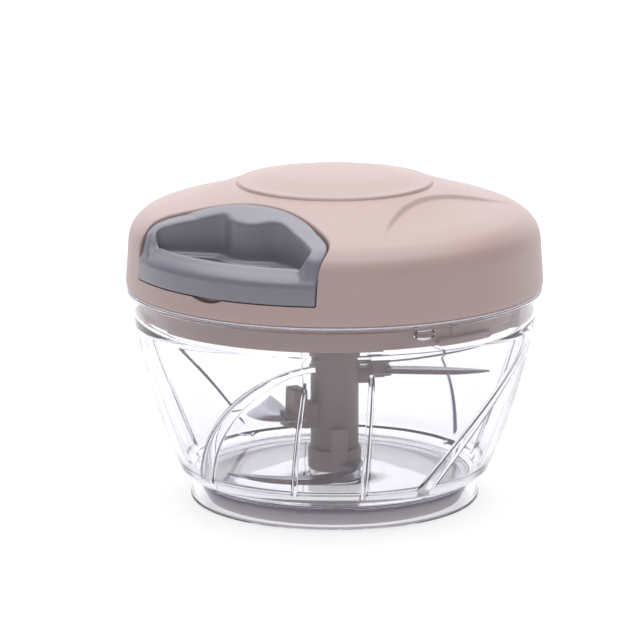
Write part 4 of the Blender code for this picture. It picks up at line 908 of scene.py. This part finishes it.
def moved_in(plan, inset, face_inset=None):
    """A closed plan moved inwards, by an inset of its own on the handle's front face."""
    out = []
    count = len(plan)
    for index, (x, y) in enumerate(plan):
        before = plan[(index - 2) % count]
        after = plan[(index + 2) % count]
        run = Vector((after[0] - before[0], after[1] - before[1])).normalized()
        on_face = face_inset is not None and math.hypot(x, y) > HANDLE_FACE_RADIUS - 0.0001
        reach = face_inset if on_face else inset
        out.append((x + run.y * reach, y - run.x * reach))
    return out


def moved_clear(plan, inset):
    """A closed plan moved inwards, its points stopped at a corner where they would cross over."""
    moved = moved_in(plan, inset)
    count = len(plan)
    clear = [min(math.dist(spot, other) for other in plan) > 0.97 * inset for spot in moved]
    out = []
    for index in range(count):
        near = sorted((abs(step), step) for step in range(-40, 41) if clear[(index + step) % count])
        out.append(moved[(index + near[0][1]) % count])
    return out


def between(first, second, share):
    return [(a + (c - a) * share, b + (d - b) * share) for (a, b), (c, d) in zip(first, second)]


outer_plan = handle_plan(0.0, HANDLE_FACE_RADIUS)
well_back = [(0.0, 0.0455), (0.0020, 0.0455), (0.0047, 0.0447), (0.0078, 0.0424), (0.0104, 0.0419),
             (0.0130, 0.0425), (0.0205, 0.0457), (GRIP_HALF_WIDTH, 0.0496), (0.0270, 0.0512),
             (GRIP_FRONT_HALF, 0.0518)]
well_plan = both_sides(resample(rounded(well_back, 0.0016, 6), 90),
                       resample(front_arc(GRIP_FRONT_RADIUS, GRIP_FRONT_HALF), 60))
handle_rings = [(moved_in(outer_plan, 0.0003), level(HANDLE_BOTTOM_Z)),
                (moved_in(outer_plan, 0.00008), level(HANDLE_BOTTOM_Z + 0.0001)),
                (outer_plan, level(HANDLE_BOTTOM_Z + 0.0004))]
for share in (0.35, 0.7):
    handle_rings.append((outer_plan, lambda x, y, share=share: HANDLE_BOTTOM_Z
                         + share * (handle_top(x, y) - HANDLE_BOTTOM_Z)))
for inset, face_inset, drop in (
        (0.0, 0.0, 0.00120), (0.0, 0.00013, 0.00105), (0.0, 0.00016, 0.00080),
        (0.00006, 0.00035, 0.00050), (0.0002, 0.00075, 0.00025), (0.00045, 0.00125, 0.00008),
        (0.0008, 0.0019, 0.0)):
    handle_rings.append((moved_in(outer_plan, inset, face_inset), rim_drop(drop)))
land_out = moved_in(outer_plan, 0.0008, 0.0019)
land_in = moved_in(well_plan, -0.0012)
for share in (0.2, 0.4, 0.6, 0.8, 1.0):
    handle_rings.append((between(land_out, land_in, share), rim_drop(0.0)))
for inset, drop in ((-0.0008, 0.00007), (-0.00045, 0.00024), (-0.0002, 0.0005), (-0.00005, 0.0009),
                    (0.0, 0.0014)):
    handle_rings.append((moved_in(well_plan, inset), rim_drop(drop)))
for inset, height in ((0.0002, 0.0088), (0.0003, 0.0084), (0.0005, 0.0081), (0.0009, 0.0079),
                      (0.0025, 0.0079), (0.0029, 0.0077), (0.0031, 0.0073), (0.0035, 0.0002),
                      (0.0033, 0.0)):
    handle_rings.append((moved_clear(well_plan, inset), level(HANDLE_BOTTOM_Z + height)))
under_in, under_out = moved_clear(well_plan, 0.0033), moved_in(outer_plan, 0.0003)
for share in (0.33, 0.66, 1.0):
    handle_rings.append((between(under_in, under_out, share), level(HANDLE_BOTTOM_Z)))


def handle_point(u, v):
    plan, height = handle_rings[round(v * (len(handle_rings) - 1))]
    x, y = plan[round(u * len(plan)) % len(plan)]
    return Vector((x, y, height(x, y)))


handle = shape_grid("pull_handle_ring", len(outer_plan), len(handle_rings) - 1, handle_point)
carve(handle, round_bar(48, CORD_HOLE, 0.0096, (0.0, -0.0382, CORD_Z), forward=True))
carve(handle, round_bar(64, KNOT_ROOM, 0.0140, (0.0, -KNOT_SPOT, CORD_Z + 0.0021 - 0.0070)))
# Blue grey ABS with a satin grain of 0.24 mm. A thin soft coat gives its rims their light lines.
grey_abs = moulded_abs("blue_grey_abs_satin", "7C7B83", "75757D", 0.34, 0.00024)
finish(grey_abs.node_tree.nodes["Principled BSDF"], {"Coat Weight": 0.3, "Coat Roughness": 0.28})
dress(handle, grey_abs, "handle", "handle_grip", "pull_handle", angle=38.0)

# Lid base: the inner shell in the same ABS, with the skirt that turns in the bowl's rim, a floor
# and the reel's hub. Three bayonet tracks are sunk in the skirt, each with a ramp and a ledge.
SKIRT_OUTER = 0.0589
SKIRT_INNER = 0.0553
SKIRT_BOTTOM_Z = 0.0578
TRACK_AZIMUTH = 76.7
TRACK_END = 24.6
FLOOR_Z = 0.0605
HUB_RADIUS = 0.0078
HUB_BORE = 0.0056
SCREW_AZIMUTHS = (52.0, 135.0, -135.0, -52.0)
SCREW_CIRCLE = 0.0460
base = turn_section("lid_base_shell", rounded(
    [(0.0600, 0.0687), (0.0607, 0.0687), (0.0607, 0.0675), (SKIRT_OUTER, 0.0675),
     (SKIRT_OUTER, SKIRT_BOTTOM_Z), (SKIRT_INNER, SKIRT_BOTTOM_Z), (SKIRT_INNER, FLOOR_Z),
     (0.0200, FLOOR_Z), (0.0192, FLOOR_Z - 0.0006), (0.0160, FLOOR_Z - 0.0006), (0.0152, FLOOR_Z),
     (HUB_RADIUS + 0.0004, FLOOR_Z), (HUB_RADIUS, 0.0470), (HUB_BORE, 0.0470), (HUB_BORE, 0.0670),
     (HUB_RADIUS, 0.0670), (HUB_RADIUS, 0.0625), (0.0533, 0.0625), (0.0569, 0.0687),
     (0.0600, 0.0687)], 0.0004, 4), 240)


def bayonet_track(azimuth):
    """Room for one lug to enter and slide: its first wall is the curved ramp."""
    corners = [(0.0566, 0.0558), (0.0600, 0.0558), (0.0600, 0.0657), (0.0566, 0.0657)]
    edge = []
    for (radius, height), (next_radius, next_height) in zip(corners, corners[1:] + corners[:1]):
        for share in spread(0.0, 1.0, 9)[:-1]:
            edge.append((radius + (next_radius - radius) * share,
                         height + (next_height - height) * share))

    def place_point(u, v):
        radius, height = edge[round(u * len(edge)) % len(edge)]
        rise = clamp((height - SKIRT_BOTTOM_Z) / 0.0070)
        share = clamp((v * 50 - 1) / 48)
        start = -26.6 + 7.4 * rise ** 1.9
        ridge = -0.08 if v < 0.01 else 0.08 if v > 0.99 else 0.0
        radius = 0.0585 if ridge else radius
        return polar(radius, azimuth + start + (TRACK_END - start) * share + ridge, height)

    return shape_grid("bayonet_track", len(edge), 50, place_point)


def band_block(name, inner, outer, low, high, first, last, round_end):
    """A curved bar on the skirt from one azimuth to another, with rounded ends and edges."""
    def place_point(u, v):
        side, lift = flattened(2 * math.pi * u, 1.25)
        end = min(v, 1.0 - v) * (last - first)
        full = math.sqrt(max(0.0, 1.0 - (1.0 - min(1.0, end / round_end)) ** 2))
        radius = (inner + outer) / 2 + side * (outer - inner) / 2 * min(1.0, 0.75 + full)
        height = (low + high) / 2 + full * lift * (high - low) / 2
        return polar(radius, first + (last - first) * v, height)

    return shape_grid(name, 24, 60, place_point)


cuts = []
bars = []
for third in range(3):
    azimuth = TRACK_AZIMUTH + 120.0 * third
    cuts.append(bayonet_track(azimuth))
    bars.append(band_block("track_pad", 0.0560, 0.0573, 0.0602, 0.0650, azimuth - 4.9,
                           azimuth + TRACK_END - 1.0, 1.0))
    bars.append(band_block("track_ledge", 0.0560, SKIRT_OUTER + 0.00004, SKIRT_BOTTOM_Z - 0.00004,
                           SKIRT_BOTTOM_Z + 0.0023, azimuth - 10.0, azimuth + 10.0, 1.4))
for azimuth in SCREW_AZIMUTHS:
    cuts.append(round_bar(40, 0.0014, 0.0080, polar(SCREW_CIRCLE, azimuth, FLOOR_Z)))
carve(base, unite(cuts))
carve(base, unite(bars), "UNION")
# The same taupe ABS, painted lighter than the cover against the shade it lies in behind the bowl's
# rim; grain 0.24 mm.
taupe_painted_lighter = moulded_abs("taupe_abs_painted_lighter", "C2A29B", "BA9A93", 0.40, 0.00024)
dress(base, taupe_painted_lighter, "lid", "lid_inner", "lid_base", angle=38.0)

# Lid seal: a ring of translucent white silicone that the lid presses onto the bowl's rim. Its thin
# flange reaches out under the lid's edge, where its white stands for the light line along the
# joint:
# partly the seal's own colour and partly a painted highlight.
seal = turn_section("rim_seal", rounded(
    [(0.0600, 0.0672), (0.0607, 0.0672), (0.0607, 0.0657), (0.0621, 0.0657), (0.0621, 0.0651),
     (0.0592, 0.0651), (0.0592, 0.0672), (0.0600, 0.0672)], 0.0002, 4), 200)


def milky(name, dark, light, scale, roughness, depth_share, depth):
    """A moulding that light enters a little: faint clouds in its colour and an even gloss."""
    material, tree, shader, place = new_material(name)
    cloud = add_node(tree, "ShaderNodeTexNoise", {"Scale": scale, "Detail": 3.0}, {"Vector": place})
    tone = add_node(tree, "ShaderNodeMix", two_tones(dark, light), {0: cloud.outputs["Fac"]})
    finish(shader, {"Base Color": tone.outputs[2], "Roughness": roughness,
                    "Subsurface Weight": depth_share, "Subsurface Scale": depth})
    return material


# White silicone, moulded: milky, with clouds of 3 mm, and light enters it by about a millimetre.
white_silicone = milky("white_silicone_moulded", "D9D6DA", "E4E2E6", 300.0, 0.5, 0.15, 0.001)
dress(seal, white_silicone, "seal", "seal", "lid_seal")

# Housing screws: four pan head screws of zinc plated steel with a cross recess, driven up through
# the floor into the cover. Each head stands a little below the floor.


def plain_steel(name, colour, scale, smooth, rough):
    """A bare metal of one colour whose gloss is broken by a fine grain."""
    material, tree, shader, place = new_material(name)
    grain = add_node(tree, "ShaderNodeTexNoise", {"Scale": scale, "Detail": 3.0}, {"Vector": place})
    gloss = add_node(tree, "ShaderNodeMapRange", {"To Min": smooth, "To Max": rough},
                     {"Value": grain.outputs["Fac"]})
    finish(shader, {"Roughness": gloss.outputs["Result"], "Base Color": hex_colour(colour),
                    "Metallic": 1.0})
    return material


# Zinc plating: bright and a little uneven, with a grain of 0.7 mm.
steel_bright = plain_steel("zinc_plated_steel", "C6C7CC", 1500.0, 0.22, 0.4)
for number, azimuth in enumerate(SCREW_AZIMUTHS):
    screw = turn_section(f"pan_head_screw_{number + 1}", rounded(
        [(0.0, 0.0712), (0.0004, 0.0712), (0.0011, 0.0702), (0.0011, 0.0602), (0.0027, 0.0602),
         (0.0027, 0.0594), (0.0019, 0.0588), (0.0, 0.0588)], 0.0004, 4), 40)
    for turn in (0.0, 90.0):
        carve(screw, soft_block("cross_recess", -0.0014, 0.0014, 0.0005, 0.0580, 0.0596, turn,
                                0.0001))
    screw.data.transform(screw.matrix_world)
    spot = polar(SCREW_CIRCLE, azimuth, 0.0)
    for vertex in screw.data.vertices:
        vertex.co += spot
    dress(screw, steel_bright, "lid", "steel", f"housing_screw_{number + 1}")

# Reel, bearing and recoil spring: acetal mouldings, steel parts and a spring of rolled strip. They
# keep the solids' shapes, and show only at the hub when the lid is off.
# Acetal, moulded in its natural white: waxy and smooth, with clouds of 8 mm.
acetal = milky("natural_acetal_moulded", "E6E3DA", "F0EDE6", 120.0, 0.32, 0.1, 0.0008)
# Rolled spring steel: darker and bluer than the plating, with a grain of 1.4 mm.
blue_steel = plain_steel("rolled_spring_steel", "8F94A0", 700.0, 0.2, 0.36)
for name, material in (("cord_reel", acetal), ("spring_arbor", acetal), ("drive_bush", acetal),
                       ("cord_eyelet", acetal), ("reel_axle", steel_bright),
                       ("thrust_washer", steel_bright), ("spring_cover", steel_bright),
                       ("recoil_spring", blue_steel)):
    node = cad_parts[name]
    node.data.materials.clear()
    node.data.materials.append(material)

# Pull cord: 1.5 mm braided nylon, wound in one layer on the reel, led through the eyelet and tied
# off in a knot inside the handle's boss.
CORD_RADIUS = 0.00075
WIND_RADIUS = 0.02105
WIND_BOTTOM_Z = 0.07045
CORD_TURNS = 4
CORD_PITCH = 0.0020
BRAID_STEP = 0.00036
BRAID_SIDES = 14
LEAD_SPAN = 0.0333
leave_angle = math.degrees(math.acos(WIND_RADIUS / LEAD_SPAN))


def length_of(points):
    return sum(math.dist(first, second) for first, second in zip(points, points[1:]))


def braided(name, points):
    """A cord of round braid along points: two sets of strands crossing over each other."""
    steps = max(8, int(length_of(points) / BRAID_STEP))
    line = [Vector(point) for point in resample(points, steps)]
    rings = []
    for index, here in enumerate(line):
        ahead = (line[min(index + 1, len(line) - 1)] - line[max(index - 1, 0)]).normalized()
        side = ahead.cross(Vector((0.0, 0.0, 1.0))).normalized()
        up = side.cross(ahead)
        ring = []
        for step in range(BRAID_SIDES):
            turn = 2 * math.pi * step / BRAID_SIDES
            weave = math.sin(3.5 * turn + index * 1.1) * math.sin(3.5 * turn - index * 1.1)
            radius = CORD_RADIUS * (0.95 + 0.05 * weave)
            ring.append(here + side * (radius * math.cos(turn)) + up * (radius * math.sin(turn)))
        rings.append(ring)

    def place_point(u, v):
        row = round(v * (len(rings) + 1)) - 1
        if row < 0 or row == len(rings):
            return line[clamp(row, 0, len(line) - 1)]
        return rings[row][round(u * BRAID_SIDES) % BRAID_SIDES]

    return shape_grid(name, BRAID_SIDES, len(rings) + 1, place_point, 0.0000005)


def wind_point(turns):
    """A point of the windings, that many turns from their start."""
    return polar(WIND_RADIUS, -leave_angle - 360.0 * (CORD_TURNS - turns),
                 WIND_BOTTOM_Z + turns * CORD_PITCH)


leave = direction(90.0 - leave_angle)
wound = [wind_point(turns) for turns in spread(0.0, CORD_TURNS, CORD_TURNS * 60 + 1)]
wound.append(wound[-1] + leave * 0.0015)
start = wind_point(CORD_TURNS) + leave * 0.0018
turn_spot = Vector((0.0, -LEAD_SPAN + 0.0008, CORD_Z))
knot_spot = Vector((0.0, -KNOT_SPOT, CORD_Z))
corner_in = turn_spot + (start - turn_spot).normalized() * 0.0030
corner_out = turn_spot + Vector((0.0, -0.0026, 0.0))
bend = [corner_in.lerp(turn_spot, share).lerp(turn_spot.lerp(corner_out, share), share)
        for share in spread(0.0, 1.0, 10)]
lead = [start] + bend + [knot_spot + Vector((0.0, 0.0018, 0.0))]
# Nylon, braided from strands of 0.4 mm: white and matt, with fuzz that catches a little light.
nylon = grained("braided_nylon_cord", "C9CACF", "ECECEF", 2600.0, 2.0, 0.5, 0.7, 0.3)
dress(braided("wound_cord", wound), nylon, "reel", "cord", "pull_cord_wound", angle=60.0)
lead_cord = braided("cord_to_handle", lead)
pick(lead_cord)
bpy.ops.object.shade_smooth()
lead_cord.data.materials.append(nylon)
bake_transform(lead_cord)
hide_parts("cord_lead")

# Knot: an overhand knot in the same cord, drawn as two turns of it. It is too wide for the hole in
# the handle's back, so it holds the handle on.
knot_line = []
for share in spread(0.0, 1.0, 90):
    turn = 4.0 * math.pi * share
    swell = 0.00092 + 0.00010 * math.cos(1.5 * turn)
    knot_line.append(knot_spot + Vector((swell * math.cos(turn), 0.0009 * math.cos(1.5 * turn),
                                         swell * math.sin(turn))))
knot = braided("stopper_knot", knot_line)
dress(knot, nylon, "handle", "cord", "cord_knot", angle=60.0)
